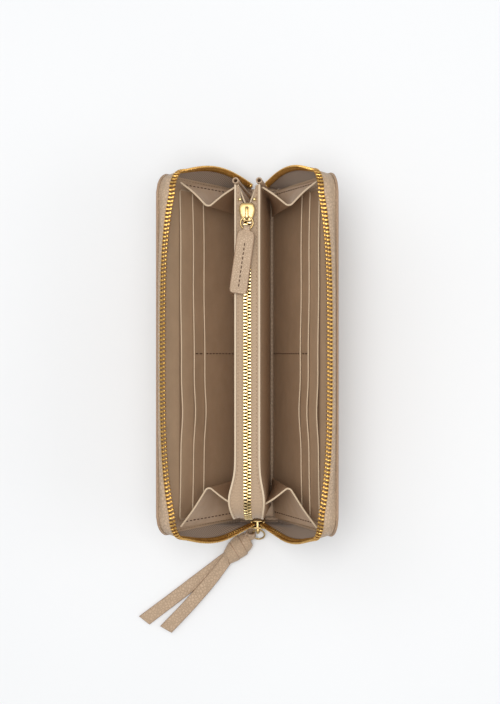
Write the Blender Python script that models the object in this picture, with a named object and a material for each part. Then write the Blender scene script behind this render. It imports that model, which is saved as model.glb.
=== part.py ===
"""Long zip-around wallet, standing open on its spine: two stiffened leather covers with card pockets,
a zipped coin pocket between them, folding gussets at both ends, and a metal zip round three sides.

Frame: +Z up, Y along the spine, X across it. The origin is the middle of the spine's underside.
Each cover is drawn shut, in its own local frame (u across from the hinge line towards the middle,
y along the spine, v up the cover), and an empty on the hinge line then swings it open.
"""

import math

import bmesh
import bpy
from mathutils import Vector

MM = 0.001

# ---- driving dimensions -------------------------------------------------------------------------
HALF_LENGTH = 96 * MM  # half of a cover's length along the spine
COVER_HEIGHT = 98 * MM  # hinge line to the cover's free edge
CORNER_RADIUS = 12 * MM  # the covers' two free corners
OPEN_ANGLE = math.radians(21.3)  # how far each cover leans out at rest
HINGE_X = 11.4 * MM  # hinge lines, either side of the middle
HINGE_Z = 1.5 * MM
GAP = 0.3 * MM  # clearance between pieces that touch
LEATHER = 1.2 * MM
LINING = 0.6 * MM
POCKET_SHEET = 0.5 * MM

COIN_HALF_WIDTH = 6.8 * MM  # outer face of the coin pocket's walls
COIN_TOP = 90.2 * MM
COIN_WALL = 1.0 * MM
COIN_FRONT_Y = -87 * MM  # closed end, where the coin zip bends down
COIN_BACK_Y = 89.2 * MM  # gusseted end
COIN_BEND = 12 * MM  # radius of the zip's bend at the closed end
COIN_CHAIN_Z = 89.6 * MM

CHAIN_CENTRE = 9.1 * MM  # u of the main chain's middle when its tape lies flat
CHAIN_END_Y = 97.2 * MM  # the main chain's y beside the spine
CHAIN_TOP_V = 98.7 * MM
CHAIN_LIFT = 4.3 * MM  # how far the middle of the long side rises
CHAIN_LEAN_BACK = 3.2 * MM  # and how far it leans back over the cover
CHAIN_BULGE = 5.0 * MM  # how far the short ends bow outwards
ZIP_FOOT_V = 34 * MM  # below this the -Y end of the zip bends freely down to its slider
MAIN_PITCH = 2.07 * MM
COIN_PITCH = 1.75 * MM
TOOTH_HALF_THICK = 1.0 * MM

MAIN_SLIDER_Z = 10 * MM  # middle of the main slider, at the foot of the -Y end
COIN_SLIDER_Y = 74.5 * MM  # middle of the coin slider, at the shut end of its run

# ---- colours (linear) ---------------------------------------------------------------------------
COLOURS = {
    "leather": ((0.44, 0.32, 0.23, 1), 0.55, 0.0),
    "lining": ((0.30, 0.22, 0.155, 1), 0.6, 0.0),
    "zip_tape": ((0.40, 0.29, 0.20, 1), 0.85, 0.0),
    "board": ((0.35, 0.27, 0.18, 1), 0.9, 0.0),
    "antique_brass": ((0.50, 0.30, 0.09, 1), 0.3, 1.0),
    "polished_brass": ((0.85, 0.66, 0.32, 1), 0.2, 1.0),
}


# ---- helpers ------------------------------------------------------------------------------------
def clear_scene():
    for obj in list(bpy.data.objects):
        bpy.data.objects.remove(obj)


def material(slot):
    """The Principled material of one slot, made once."""
    made = bpy.data.materials.get(slot)
    if made is None:
        colour, roughness, metallic = COLOURS[slot]
        made = bpy.data.materials.new(slot)
        made.use_nodes = True
        shader = made.node_tree.nodes["Principled BSDF"]
        shader.inputs["Base Color"].default_value = colour
        shader.inputs["Roughness"].default_value = roughness
        shader.inputs["Metallic"].default_value = metallic
    return made


def empty(name, location, turn_y=0.0):
    obj = bpy.data.objects.new(name, None)
    obj.location = location
    obj.rotation_euler = (0, turn_y, 0)
    bpy.context.scene.collection.objects.link(obj)
    return obj


def solid(name, points, faces, slot, parent=None, smooth=False):
    """A closed mesh object from points and faces, its normals turned outwards."""
    mesh = bpy.data.meshes.new(name)
    mesh.from_pydata([tuple(p) for p in points], [], faces)
    shell = bmesh.new()
    shell.from_mesh(mesh)
    outlines = [face for face in shell.faces if len(face.verts) > 4]
    bmesh.ops.triangulate(shell, faces=outlines, ngon_method="EAR_CLIP")
    bmesh.ops.recalc_face_normals(shell, faces=shell.faces)
    shell.to_mesh(mesh)
    shell.free()
    mesh.materials.append(material(slot))
    if smooth:
        mesh.shade_smooth()
        mesh.set_sharp_from_angle(angle=math.radians(40))
    obj = bpy.data.objects.new(name, mesh)
    bpy.context.scene.collection.objects.link(obj)
    obj.parent = parent
    return obj


def loft(name, rings, slot, parent=None, smooth=False):
    """A solid through rings of the same number of points, capped at both ends."""
    count = len(rings[0])
    points = [p for ring in rings for p in ring]
    faces = [tuple(range(count))[::-1], tuple(range(len(points) - count, len(points)))]
    for r in range(len(rings) - 1):
        for k in range(count):
            a = r * count + k
            b = r * count + (k + 1) % count
            faces.append((a, b, b + count, a + count))
    return solid(name, points, faces, slot, parent, smooth)


def block(name, low, high, slot, parent=None):
    """A box between two corners."""
    (x0, y0, z0), (x1, y1, z1) = low, high
    rings = [[(x0, y0, z), (x1, y0, z), (x1, y1, z), (x0, y1, z)] for z in (z0, z1)]
    return loft(name, rings, slot, parent)


def union(target, others):
    """Joins other solids into the target and removes them."""
    for other in others:
        joined = target.modifiers.new("join", "BOOLEAN")
        joined.operation = "UNION"
        joined.solver = "EXACT"
        joined.object = other
    graph = bpy.context.evaluated_depsgraph_get()
    graph.update()
    mesh = bpy.data.meshes.new_from_object(target.evaluated_get(graph))
    target.modifiers.clear()
    target.data = mesh
    for other in others:
        bpy.data.objects.remove(other)
    return target


def cut(target, cutters):
    """Cuts solids out of the target and removes them."""
    for cutter in cutters:
        cut_out = target.modifiers.new("cut", "BOOLEAN")
        cut_out.operation = "DIFFERENCE"
        cut_out.solver = "EXACT"
        cut_out.object = cutter
    graph = bpy.context.evaluated_depsgraph_get()
    graph.update()
    mesh = bpy.data.meshes.new_from_object(target.evaluated_get(graph))
    target.modifiers.clear()
    target.data = mesh
    for cutter in cutters:
        bpy.data.objects.remove(cutter)
    return target


def arc(centre, radius, start, end, steps):
    """Points (a, b) of an arc, angles in degrees."""
    turns = [math.radians(start + (end - start) * k / steps) for k in range(steps + 1)]
    return [(centre[0] + radius * math.cos(t), centre[1] + radius * math.sin(t)) for t in turns]


def ring_wire(name, centre, across, along, radius, wire, slot, parent=None, turns=28, sides=8):
    """A ring of round wire in the plane of two unit vectors."""
    across, along = Vector(across), Vector(along)
    normal = across.cross(along)
    points, faces = [], []
    for i in range(turns):
        t = 2 * math.pi * i / turns
        out = across * math.cos(t) + along * math.sin(t)
        for j in range(sides):
            s = 2 * math.pi * j / sides
            points.append(Vector(centre) + out * (radius + wire * math.cos(s)) + normal * wire * math.sin(s))
            a, b = i * sides + j, i * sides + (j + 1) % sides
            c, d = (i + 1) % turns * sides + (j + 1) % sides, (i + 1) % turns * sides + j
            faces.append((a, b, c, d))
    return solid(name, points, faces, slot, parent, smooth=True)


# ---- covers -------------------------------------------------------------------------------------
def cover_outline(half_length, low, high, radius, steps=8):
    """(y, v) outline of a cover sheet: square at the hinge, rounded at its two free corners."""
    outline = [(-half_length, low), (half_length, low)]
    outline += arc((half_length - radius, high - radius), radius, 0, 90, steps)
    outline += arc((-half_length + radius, high - radius), radius, 90, 180, steps)
    return outline


def sheet(name, side, hinge, inner, thick, outline, slot):
    """A flat sheet of a cover, from u = inner, on the left (side -1) or right (+1) cover."""
    rings = [[(-side * u, y, v) for y, v in outline] for u in (inner, inner + thick)]
    return loft(name, rings, slot, hinge)


def cover_sheets(side, hinge):
    """Outer leather, stiffening board, lining, and the three stepped pocket sheets."""
    word = "left" if side < 0 else "right"
    outer_leather = cover_outline(HALF_LENGTH, GAP, COVER_HEIGHT, CORNER_RADIUS)
    sheet(f"cover_{word}_leather", side, hinge, -LEATHER, LEATHER, outer_leather, "leather")
    board = cover_outline(89 * MM, 3 * MM, 91 * MM, 8 * MM, 4)
    sheet(f"cover_{word}_board", side, hinge, GAP, LINING, board, "board")
    lining = cover_outline(93 * MM, 2 * MM, 95 * MM, 9 * MM, 6)
    sheet(f"cover_{word}_lining", side, hinge, 2 * GAP + LINING, LINING, lining, "lining")
    inner = 3 * GAP + 2 * LINING
    for name, top in (("slip_pocket", 78), ("card_slots_back", 65), ("card_slots_front", 54)):
        pocket = cover_outline(88.8 * MM, 3 * MM, top * MM, 2.5 * MM, 2)
        sheet(f"{name}_{word}", side, hinge, inner, POCKET_SHEET, pocket, "lining")
        inner += POCKET_SHEET + GAP


# ---- the main zip -------------------------------------------------------------------------------
def main_zip_lines(low_front, low_back, corner_steps=10, end_steps=16, side_steps=40):
    """The sewn edge and the chain's middle as matching (u, y, v) points, from -Y round to +Y."""
    sewn, chain = [], []
    straight_y = HALF_LENGTH - CORNER_RADIUS
    straight_v = COVER_HEIGHT - CORNER_RADIUS
    sewn_inset = 1.0 * MM

    def end_points(sign, low):
        for k in range(end_steps):
            v = low + (straight_v - low) * k / end_steps
            bow = CHAIN_BULGE * math.sin(math.pi * min(1, max(0, (v - 4 * MM) / (straight_v - 4 * MM))))
            yield (0.4 * MM, sign * (HALF_LENGTH - sewn_inset), v), (CHAIN_CENTRE, sign * (CHAIN_END_Y + bow), v)

    def corner_points(sign):
        for k in range(corner_steps):
            t = math.pi / 2 * k / corner_steps
            reach = CORNER_RADIUS - sewn_inset
            edge = (0.4 * MM, sign * (straight_y + reach * math.cos(t)), straight_v + reach * math.sin(t))
            out_y = CHAIN_END_Y - straight_y
            out_v = CHAIN_TOP_V - straight_v
            middle = (CHAIN_CENTRE, sign * (straight_y + out_y * math.cos(t)), straight_v + out_v * math.sin(t))
            yield edge, middle

    def side_points():
        for k in range(side_steps + 1):
            y = -straight_y + 2 * straight_y * k / side_steps
            swell = 1 - (abs(y) / straight_y) ** 3.5
            edge = (0.4 * MM, y, COVER_HEIGHT - sewn_inset)
            middle = (CHAIN_CENTRE - CHAIN_LEAN_BACK * swell, y, CHAIN_TOP_V + CHAIN_LIFT * swell)
            yield edge, middle

    front = list(end_points(-1, low_front)) + list(corner_points(-1))
    back = list(end_points(1, low_back)) + list(corner_points(1))
    for edge, middle in front + list(side_points()) + back[::-1]:
        sewn.append(Vector(edge))
        chain.append(Vector(middle))
    return sewn, chain


def resampled(line, step):
    """(position, index, share) of points a step apart along a line."""
    places, carried = [], 0.0
    for k in range(len(line) - 1):
        length = (line[k + 1] - line[k]).length
        while carried < length:
            places.append((k, carried / length))
            carried += step
        carried -= length
    return places


def between(line, place):
    k, share = place
    return line[k].lerp(line[k + 1], share)


def zip_frames(sewn, chain, step):
    """(middle, along, across, normal) at even steps along the chain; across points from the tape to the teeth."""
    places = resampled(chain, step)
    middles = [between(chain, p) for p in places]
    edges = [between(sewn, p) for p in places]
    frames = []
    for k, middle in enumerate(middles):
        along = (middles[min(k + 1, len(middles) - 1)] - middles[max(k - 1, 0)]).normalized()
        across = middle - edges[k]
        across = (across - along * across.dot(along)).normalized()
        frames.append((middle, along, across, along.cross(across)))
    return frames


def mirrored(point, side):
    """A cover's (u, y, v) point as a local x, y, z, for the left (-1) or right (+1) cover."""
    return (-side * point[0], point[1], point[2])


def foot_lines(cover_sewn, cover_chain, steps=10):
    """The same two lines in world space for the zip's foot: up through the slider, then out to the open cover."""
    join_edge = cover_point(*cover_sewn[0])
    join_chain = cover_point(*cover_chain[0])
    low_edge = cover_point(cover_sewn[0].x, cover_sewn[0].y, 3 * MM)
    chain = [Vector((-x * MM, -CHAIN_END_Y, z * MM)) for x, z in ((1.9, 4.9), (1.9, 9.0), (2.4, 11.5), (3.0, 15.0))]
    slope = (cover_point(*cover_chain[1]) - join_chain).normalized() * 8 * MM
    start, bend_a = chain[-1], chain[-1] + Vector((-1.6 * MM, 0, 7 * MM))
    for k in range(1, steps + 1):
        t = k / steps
        point = start * (1 - t) ** 3 + bend_a * 3 * t * (1 - t) ** 2
        chain.append(point + (join_chain - slope) * 3 * t * t * (1 - t) + join_chain * t ** 3)
    sewn = []
    for point in chain:
        edge = low_edge.lerp(join_edge, (point.z - chain[0].z) / (chain[-1].z - chain[0].z))
        free = max(0, (point.z - 15.5 * MM) / (chain[-1].z - 15.5 * MM))
        edge.y = -CHAIN_END_Y + (join_edge.y + CHAIN_END_Y) * free
        sewn.append(edge)
    return sewn, chain


def main_tape(name, side, hinge, sewn, chain):
    """The woven tape, from the cover's sewn edge to just behind the teeth."""
    rings = []
    for (middle, _, across, normal), edge in zip(
        zip_frames(sewn, chain, 6 * MM), [between(sewn, p) for p in resampled(chain, 6 * MM)]
    ):
        inner = middle - across * 2.1 * MM
        half = normal * GAP
        rings.append([mirrored(p, side) for p in (edge - half, edge + half, inner + half, inner - half)])
    return loft(name, rings, "zip_tape", hinge)


def main_teeth(name, side, hinge, sewn, chain):
    """The row of teeth on their bead, as one comb."""
    frames = zip_frames(sewn, chain, MAIN_PITCH / 2)
    back, root, tip = -1.7 * MM, -0.5 * MM, 1.6 * MM
    rings = []
    for k, (middle, _, across, normal) in enumerate(frames):
        reach = tip if k % 2 else root
        half = normal * TOOTH_HALF_THICK
        ring = (middle + across * back - half, middle + across * back + half)
        ring += (middle + across * reach + half, middle + across * reach - half)
        rings.append([mirrored(p, side) for p in ring])
    return loft(name, rings, "antique_brass", hinge)


def zip_top_stop(name, side, hinge):
    """The metal stop that ends the row of teeth, low on the +Y end."""
    outline = ((7, -1.2), (10.2, -1.2), (10.2, 1.2), (7, 1.2))
    rings = []
    for v in (3.2, 5.6):
        rings.append([mirrored((u * MM, CHAIN_END_Y + y * MM, v * MM), side) for u, y in outline])
    return loft(name, rings, "antique_brass", hinge)


# ---- spine --------------------------------------------------------------------------------------
def spine():
    block("spine_leather", (-9.8 * MM, -HALF_LENGTH, 0), (9.8 * MM, HALF_LENGTH, LEATHER), "leather")
    block("spine_lining", (-8.5 * MM, -93 * MM, 1.5 * MM), (8.5 * MM, 93 * MM, 2.1 * MM), "lining")


# ---- coin pocket --------------------------------------------------------------------------------
def coin_zip_line(start_y, steps=8):
    """(y, z) points of the coin zip: flat along the pocket, then bending down its closed end."""
    bend = (COIN_FRONT_Y + COIN_BEND, COIN_CHAIN_Z - COIN_BEND)
    line = [(start_y, COIN_CHAIN_Z)]
    line += arc(bend, COIN_BEND, 90, 180, steps)
    line.append((COIN_FRONT_Y, 68 * MM))
    return [Vector((0, y, z)) for y, z in line]


def coin_wall(side):
    word = "left" if side < 0 else "right"
    radius = COIN_BEND + COIN_TOP - COIN_CHAIN_Z
    floor = 2.4 * MM
    outline = [(COIN_BACK_Y, floor), (COIN_BACK_Y, COIN_TOP)]
    outline += arc((COIN_FRONT_Y + COIN_BEND, COIN_TOP - radius), radius, 90, 180, 8)
    outline.append((COIN_FRONT_Y - radius + COIN_BEND, floor))
    faces_x = (side * (COIN_HALF_WIDTH - COIN_WALL), side * COIN_HALF_WIDTH)
    loft(f"coin_wall_{word}", [[(x, y, z) for y, z in outline] for x in faces_x], "leather")


def coin_shell():
    """Walls, floor, closed end and the folded gusset at the open end."""
    inside = COIN_HALF_WIDTH - COIN_WALL - GAP
    for side in (-1, 1):
        coin_wall(side)
    block("coin_floor", (-inside, -86 * MM, 2.4 * MM), (inside, 88 * MM, 3.2 * MM), "lining")
    front = COIN_FRONT_Y
    block("coin_end_wall", (-inside, front - 0.4 * MM, 3.5 * MM), (inside, front + 0.4 * MM, 67 * MM), "leather")
    gusset = [(-inside, 89 * MM), (0, 74 * MM), (inside, 89 * MM)]
    gusset += [(inside - 1.0 * MM, 89 * MM), (0, 76.6 * MM), (-inside + 1.0 * MM, 89 * MM)]
    rings = [[(x, y, z) for x, y in gusset] for z in (3.6 * MM, 86.3 * MM)]
    loft("coin_end_gusset", rings, "lining")


def coin_binding(side):
    """The rolled leather binding on the pocket's upright seam."""
    word = "left" if side < 0 else "right"
    circle = arc((side * 6.2 * MM, 91.3 * MM), 1.7 * MM, 0, 330, 11)
    rings = [[(x, y, z) for x, y in circle] for z in (3.6 * MM, 90.6 * MM)]
    loft(f"coin_binding_{word}", rings, "leather", smooth=True)


def coin_strip(name, side, line, low_x, high_x, half_thick, slot):
    """A strip that follows the coin zip's line, between two distances from the middle."""
    rings = []
    for k, point in enumerate(line):
        along = (line[min(k + 1, len(line) - 1)] - line[max(k - 1, 0)]).normalized()
        normal = Vector((1, 0, 0)).cross(along) * half_thick
        near, far = Vector((side * low_x, 0, 0)), Vector((side * high_x, 0, 0))
        rings.append([point + near - normal, point + near + normal, point + far + normal, point + far - normal])
    return loft(name, rings, slot)


def coin_teeth(side):
    """The row of coin teeth as one comb, its tips just short of the middle."""
    word = "left" if side < 0 else "right"
    line = coin_zip_line(79 * MM, 16)
    places = resampled(line, COIN_PITCH / 2)
    points = [between(line, p) for p in places]
    rings = []
    for k, point in enumerate(points):
        along = (points[min(k + 1, len(points) - 1)] - points[max(k - 1, 0)]).normalized()
        normal = Vector((1, 0, 0)).cross(along) * TOOTH_HALF_THICK
        tip = 0.3 * MM if k % 2 else 1.2 * MM
        near, far = Vector((side * tip, 0, 0)), Vector((side * 2.05 * MM, 0, 0))
        rings.append([point + near - normal, point + near + normal, point + far + normal, point + far - normal])
    loft(f"coin_teeth_{word}", rings, "polished_brass")


def coin_zip():
    for side, word in ((-1, "left"), (1, "right")):
        coin_strip(f"coin_tape_{word}", side, coin_zip_line(82.5 * MM), 2.35 * MM, 5.5 * MM, GAP, "zip_tape")
        coin_teeth(side)
        near, far = sorted((side * 0.5 * MM, side * 2.3 * MM))
        low = (near, 79.9 * MM, COIN_CHAIN_Z - 1.3 * MM)
        high = (far, 81.5 * MM, COIN_CHAIN_Z + 1.3 * MM)
        block(f"coin_top_stop_{word}", low, high, "polished_brass")
    low = (-2.2 * MM, COIN_FRONT_Y - 1.2 * MM, 65.6 * MM)
    high = (2.2 * MM, COIN_FRONT_Y - 0.7 * MM, 67.6 * MM)
    block("coin_bottom_stop", low, high, "polished_brass")


# ---- folding gussets ----------------------------------------------------------------------------
def cover_point(u, y, v):
    """A left cover's (u, y, v) in world x, y, z with the cover open."""
    x = -HINGE_X + u * math.cos(OPEN_ANGLE) - v * math.sin(OPEN_ANGLE)
    return Vector((x, y, HINGE_Z + u * math.sin(OPEN_ANGLE) + v * math.cos(OPEN_ANGLE)))


def offset_path(path, distance):
    """A flat path (x, y) moved sideways by a distance, its corners mitred."""
    moved = []
    for k, point in enumerate(path):
        before = (point - path[max(k - 1, 0)]).normalized() if k else None
        after = (path[k + 1] - point).normalized() if k + 1 < len(path) else None
        before, after = before or after, after or before
        left_a, left_b = Vector((-before.y, before.x)), Vector((-after.y, after.x))
        mitre = (left_a + left_b).normalized()
        moved.append(point + mitre * distance / max(0.35, mitre.dot(left_a)))
    return moved


def divided(path, legs):
    """A path with each leg cut into a number of equal steps."""
    fine = []
    for k, steps in enumerate(legs):
        fine += [path[k].lerp(path[k + 1], j / steps) for j in range(steps)]
    return fine + [path[-1]]


def gusset(side, end, ridge_y, coin_y, levels=8):
    """A gusset folded once: from the cover to an upright ridge that points inwards, and back to the coin pocket."""
    word = ("left" if side < 0 else "right") + ("_back" if end > 0 else "_front")
    half_thick = 0.25 * MM
    coin_x = -COIN_HALF_WIDTH - GAP - half_thick
    low = (5.2 * MM, 9 * MM, -8.6 * MM, 0.9 * MM)  # cover u, cover v, ridge x, width of the fold
    high = (6.0 * MM, 84 * MM, -21.6 * MM, 1.2 * MM)
    rings = []
    for level in range(levels + 1):
        t = level / levels
        u, v, ridge_x, fold = [a + (b - a) * t for a, b in zip(low, high)]
        cover = cover_point(u, end * 90.2 * MM, v)
        path = [(cover.x, cover.y), (ridge_x - fold / 2, end * ridge_y), (ridge_x + fold / 2, end * ridge_y)]
        path = divided([Vector(p) for p in path + [(coin_x, end * coin_y)]], (7, 1, 5))
        outline = offset_path(path, half_thick) + offset_path(path, -half_thick)[::-1]
        rings.append([(-side * p.x, p.y, cover.z) for p in outline])
    loft(f"gusset_{word}", rings, "lining")


def gussets():
    for side in (-1, 1):
        gusset(side, 1, 78.2 * MM, 88.6 * MM)
        gusset(side, -1, 70.0 * MM, 80.0 * MM)


# ---- sliders, rings and pulls -------------------------------------------------------------------
def slider_body(name, half_width, length, gap, plate, web, place):
    """A zip slider: two plates, a thin web between them, and side flanges that leave a slot for the tape.

    It is drawn with its length along +Y (wide mouth at +Y), its outer plate up, and place(point) puts it.
    """
    outline = []
    for y, share in ((-0.5, 0.62), (-0.2, 0.78), (0.1, 1.0), (0.35, 1.0), (0.5, 0.72)):
        outline.append((half_width * share, y * length))
    outline += [(-x, y) for x, y in outline[::-1]]
    pieces = []
    for sign in (-1, 1):
        inner, outer = sign * gap / 2, sign * (gap / 2 + plate)
        rings = [[place(Vector((x, y, z))) for x, y in outline] for z in sorted((inner, outer))]
        pieces.append(loft(f"{name}_plate{sign}", rings, "polished_brass"))
        for flank in (-1, 1):
            rings = []
            for y, share in ((-0.48, 0.62), (-0.2, 0.76), (0.1, 0.97), (0.35, 0.97)):
                edge = flank * half_width * share
                root = edge - flank * 0.7 * MM
                lift = sign * (gap / 2 + plate / 2)
                lip = sign * 1.1 * MM
                ring = ((edge, lip), (root, lip), (root, lift), (edge, lift))
                rings.append([place(Vector((x, y * length, z))) for x, z in ring])
            pieces.append(loft(f"{name}_lip{sign}{flank}", rings, "polished_brass"))
    reach = gap / 2 + plate / 2
    rings = []
    for z in (-reach, reach):
        ring = ((-web / 2, 0.02), (web / 2, 0.02), (web / 2, 0.44), (-web / 2, 0.44))
        rings.append([place(Vector((x, y * length, z))) for x, y in ring])
    pieces.append(loft(f"{name}_web", rings, "polished_brass"))
    return pieces


def bridge(name, length, base, rise, place):
    """The arch on a slider's outer plate that its ring hangs from."""
    half, bar = 0.8 * MM, 0.9 * MM
    front, back = -0.42 * length, 0.30 * length
    inner = [(front + bar, base - 0.4 * MM), (front + bar, base + rise - bar), (back - bar, base + rise - bar)]
    inner += [(back - bar, base - 0.4 * MM)]
    outer = [(back, base - 0.4 * MM), (back, base + rise - 0.5 * MM), (back - 0.5 * MM, base + rise)]
    outer += [(front + 0.5 * MM, base + rise), (front, base + rise - 0.5 * MM), (front, base - 0.4 * MM)]
    rings = [[place(Vector((x, y, z))) for y, z in inner + outer] for x in (-half, half)]
    return loft(name, rings, "polished_brass")


def coin_slider():
    """The coin slider, its ring, and the stitched leather tab."""

    def place(p):
        return Vector((p.x, COIN_SLIDER_Y + p.y, COIN_CHAIN_Z + p.z))

    pieces = slider_body("coin_slider", 4.2 * MM, 9.8 * MM, 2.7 * MM, 1.1 * MM, 0.3 * MM, place)
    pieces.append(bridge("coin_bridge", 9.8 * MM, 2.45 * MM, 2.7 * MM, place))
    body = union(pieces[0], pieces[1:])
    body.name = "coin_slider"
    pivot = Vector((0, COIN_SLIDER_Y - 2.4 * MM, COIN_CHAIN_Z + 3.4 * MM))
    radius = 3.3 * MM
    ring_wire("coin_pull_ring", pivot - Vector((0, radius, 0)), (1, 0, 0), (0, 1, 0), radius, 0.45 * MM, "polished_brass")
    coin_tab(pivot - Vector((0, 2 * radius, 0)))


def coin_tab(eye):
    """A folded tab on the ring, leaning a little to the left, with an eye round the ring's wire."""
    lean = math.radians(8.0)
    across = Vector((math.cos(lean), -math.sin(lean), 0))
    down = Vector((-math.sin(lean), -math.cos(lean), 0))
    up = Vector((0, 0, 1))
    half, thick, length = 4.7 * MM, 1.2 * MM, 34 * MM
    outline = [(-1.6 * MM, 0.6 * MM), (-half, 4.5 * MM), (-half, length - 2 * MM), (-half + 2 * MM, length)]
    outline += [(-x, y) for x, y in outline[::-1]]
    rings = []
    for z in (-thick, thick):
        rings.append([eye + across * x + down * y + up * z for x, y in outline])
    tab = loft("coin_pull_tab", rings, "leather")
    collar, bore = [], []
    for reach, radius, rows in ((1.5 * MM, 2.0 * MM, collar), (3.2 * MM, 1.35 * MM, bore)):
        for x in (-reach, reach):
            circle = arc((0, 0), radius, 0, 330, 11)
            rows.append([eye + across * x + down * y + up * z for y, z in circle])
    union(tab, [loft("tab_collar", collar, "leather")])
    cut(tab, [loft("tab_bore", bore, "leather")])


def main_slider():
    """The main slider at the foot of the -Y end, its mouth upwards and its bridge outwards."""

    def place(p):
        return Vector((p.x, -CHAIN_END_Y - p.z, MAIN_SLIDER_Z + p.y))

    pieces = slider_body("zip_slider", 4.2 * MM, 10 * MM, 2.9 * MM, 1.1 * MM, 0.9 * MM, place)
    pieces.append(bridge("zip_bridge", 10 * MM, 2.55 * MM, 3.1 * MM, place))
    body = union(pieces[0], pieces[1:])
    body.name = "zip_slider"
    pivot = Vector((0, -CHAIN_END_Y - 3.75 * MM, MAIN_SLIDER_Z - 1.6 * MM))
    drop = Vector((0, -0.8, -0.6))
    radius = 3.5 * MM
    ring_wire("zip_pull_ring", pivot + drop * radius, (1, 0, 0), drop, radius, 0.5 * MM, "polished_brass")
    block("zip_bottom_stop", (-2.6 * MM, -98.4 * MM, 1.6 * MM), (2.6 * MM, -97.4 * MM, 4.4 * MM), "antique_brass")
    pull_strap(pivot + drop * radius)


def strap_tail(name, end, low_start, low_end):
    """A flat tail of the strap from the knot to its end, which is cut aslant."""
    half_width, thick = 3.7 * MM, 1.4 * MM
    start, end = Vector((-15 * MM, -115 * MM, 0)), Vector(end)
    along = (end - start).normalized()
    across = Vector((-along.y, along.x, 0)) * half_width
    rings = []
    for share, low, slant in ((0.0, low_start, 0.0), (0.55, low_end, 0.0), (1.0, low_end, 2.2 * MM)):
        middle = start.lerp(end, share)
        left, right = middle + across - along * slant, middle - across
        left, right = Vector((left.x, left.y, low)), Vector((right.x, right.y, low))
        lift = Vector((0, 0, thick))
        rings.append([left, right, right + lift, left + lift])
    return loft(name, rings, "leather")


def pull_strap(ring_centre):
    """The strap looped through the ring, knotted once, its two tails lying on the surface."""
    knot = Vector((-11.8 * MM, -111.6 * MM, 4.6 * MM))
    along = Vector((-0.72, -0.69, 0)).normalized()
    across = Vector((-along.y, along.x, 0))
    neck = Vector((-6.7 * MM, -104.4 * MM, 5.9 * MM))
    rings = []
    for share, radius in ((-1, 0.26), (-0.72, 0.74), (-0.35, 1.0), (0.3, 0.98), (0.7, 0.72), (1, 0.42)):
        circle = arc((0, 0), radius, 0, 337.5, 15)
        middle = neck if share == -1 else knot + along * share * 9.2 * MM
        rings.append([middle + across * a * 5.6 * MM + Vector((0, 0, b * 4.4 * MM)) for a, b in circle])
    body = loft("zip_pull_strap", rings, "leather", smooth=True)
    tails = [
        strap_tail("tail_low", (-68 * MM, -155.6 * MM, 0), 1.0 * MM, 0.2 * MM),
        strap_tail("tail_top", (-55 * MM, -160.6 * MM, 0), 2.9 * MM, 1.95 * MM),
    ]
    drop = Vector((0, -0.8, -0.6))
    eye = Vector((ring_centre.x - 4.4 * MM, ring_centre.y, ring_centre.z))
    outward = Vector((-1, 0, 0))
    loop = ring_wire("strap_loop", eye, outward, outward.cross(drop), 2.5 * MM, 0.95 * MM, "leather", turns=20)
    union(body, [loop] + tails)


# ---- build --------------------------------------------------------------------------------------
def main():
    clear_scene()
    spine()
    coin_shell()
    for side in (-1, 1):
        coin_binding(side)
    coin_zip()
    gussets()
    for side, word in ((-1, "left"), (1, "right")):
        hinge = empty(f"hinge_{word}", (side * HINGE_X, 0, HINGE_Z), side * OPEN_ANGLE)
        cover_sheets(side, hinge)
        sewn, chain = main_zip_lines(ZIP_FOOT_V, 7 * MM)
        main_tape(f"zip_tape_{word}", side, hinge, sewn, chain)
        main_teeth(f"zip_teeth_{word}", side, hinge, sewn, chain)
        zip_top_stop(f"zip_top_stop_{word}", side, hinge)
        sewn, chain = foot_lines(sewn, chain)
        main_tape(f"zip_foot_tape_{word}", side, None, sewn[:-1], chain[:-1])
        main_teeth(f"zip_foot_teeth_{word}", side, None, sewn, chain)
    coin_slider()
    main_slider()


main()
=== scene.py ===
"""The looks of the open zip-around wallet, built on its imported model.

Lengths are in millimetres in the row frame; build() turns them into metres. Shapes are drawn for the left
side, and flip() mirrors them. A cover's own coordinates are (u, y, v): u from its hinge line towards the
middle, y along the spine, v up the cover.
"""

import math

import bmesh
import bpy
import numpy as np
from mathutils import Matrix, Vector


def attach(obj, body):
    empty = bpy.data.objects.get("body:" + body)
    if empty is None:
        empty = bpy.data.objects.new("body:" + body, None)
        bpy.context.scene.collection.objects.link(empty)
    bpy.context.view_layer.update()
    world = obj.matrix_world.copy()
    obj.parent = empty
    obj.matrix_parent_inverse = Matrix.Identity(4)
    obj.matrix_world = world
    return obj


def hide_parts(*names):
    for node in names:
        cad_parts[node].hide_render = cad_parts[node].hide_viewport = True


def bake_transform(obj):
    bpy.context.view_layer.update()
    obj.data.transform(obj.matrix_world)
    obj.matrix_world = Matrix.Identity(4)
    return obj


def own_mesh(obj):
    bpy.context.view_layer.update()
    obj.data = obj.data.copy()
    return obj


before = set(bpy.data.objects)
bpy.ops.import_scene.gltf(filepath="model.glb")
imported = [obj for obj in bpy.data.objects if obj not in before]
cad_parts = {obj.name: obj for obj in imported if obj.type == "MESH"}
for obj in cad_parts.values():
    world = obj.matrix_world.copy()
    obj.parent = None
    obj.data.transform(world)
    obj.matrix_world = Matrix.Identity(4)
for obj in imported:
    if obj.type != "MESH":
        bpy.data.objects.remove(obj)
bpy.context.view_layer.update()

MM = 0.001

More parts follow.
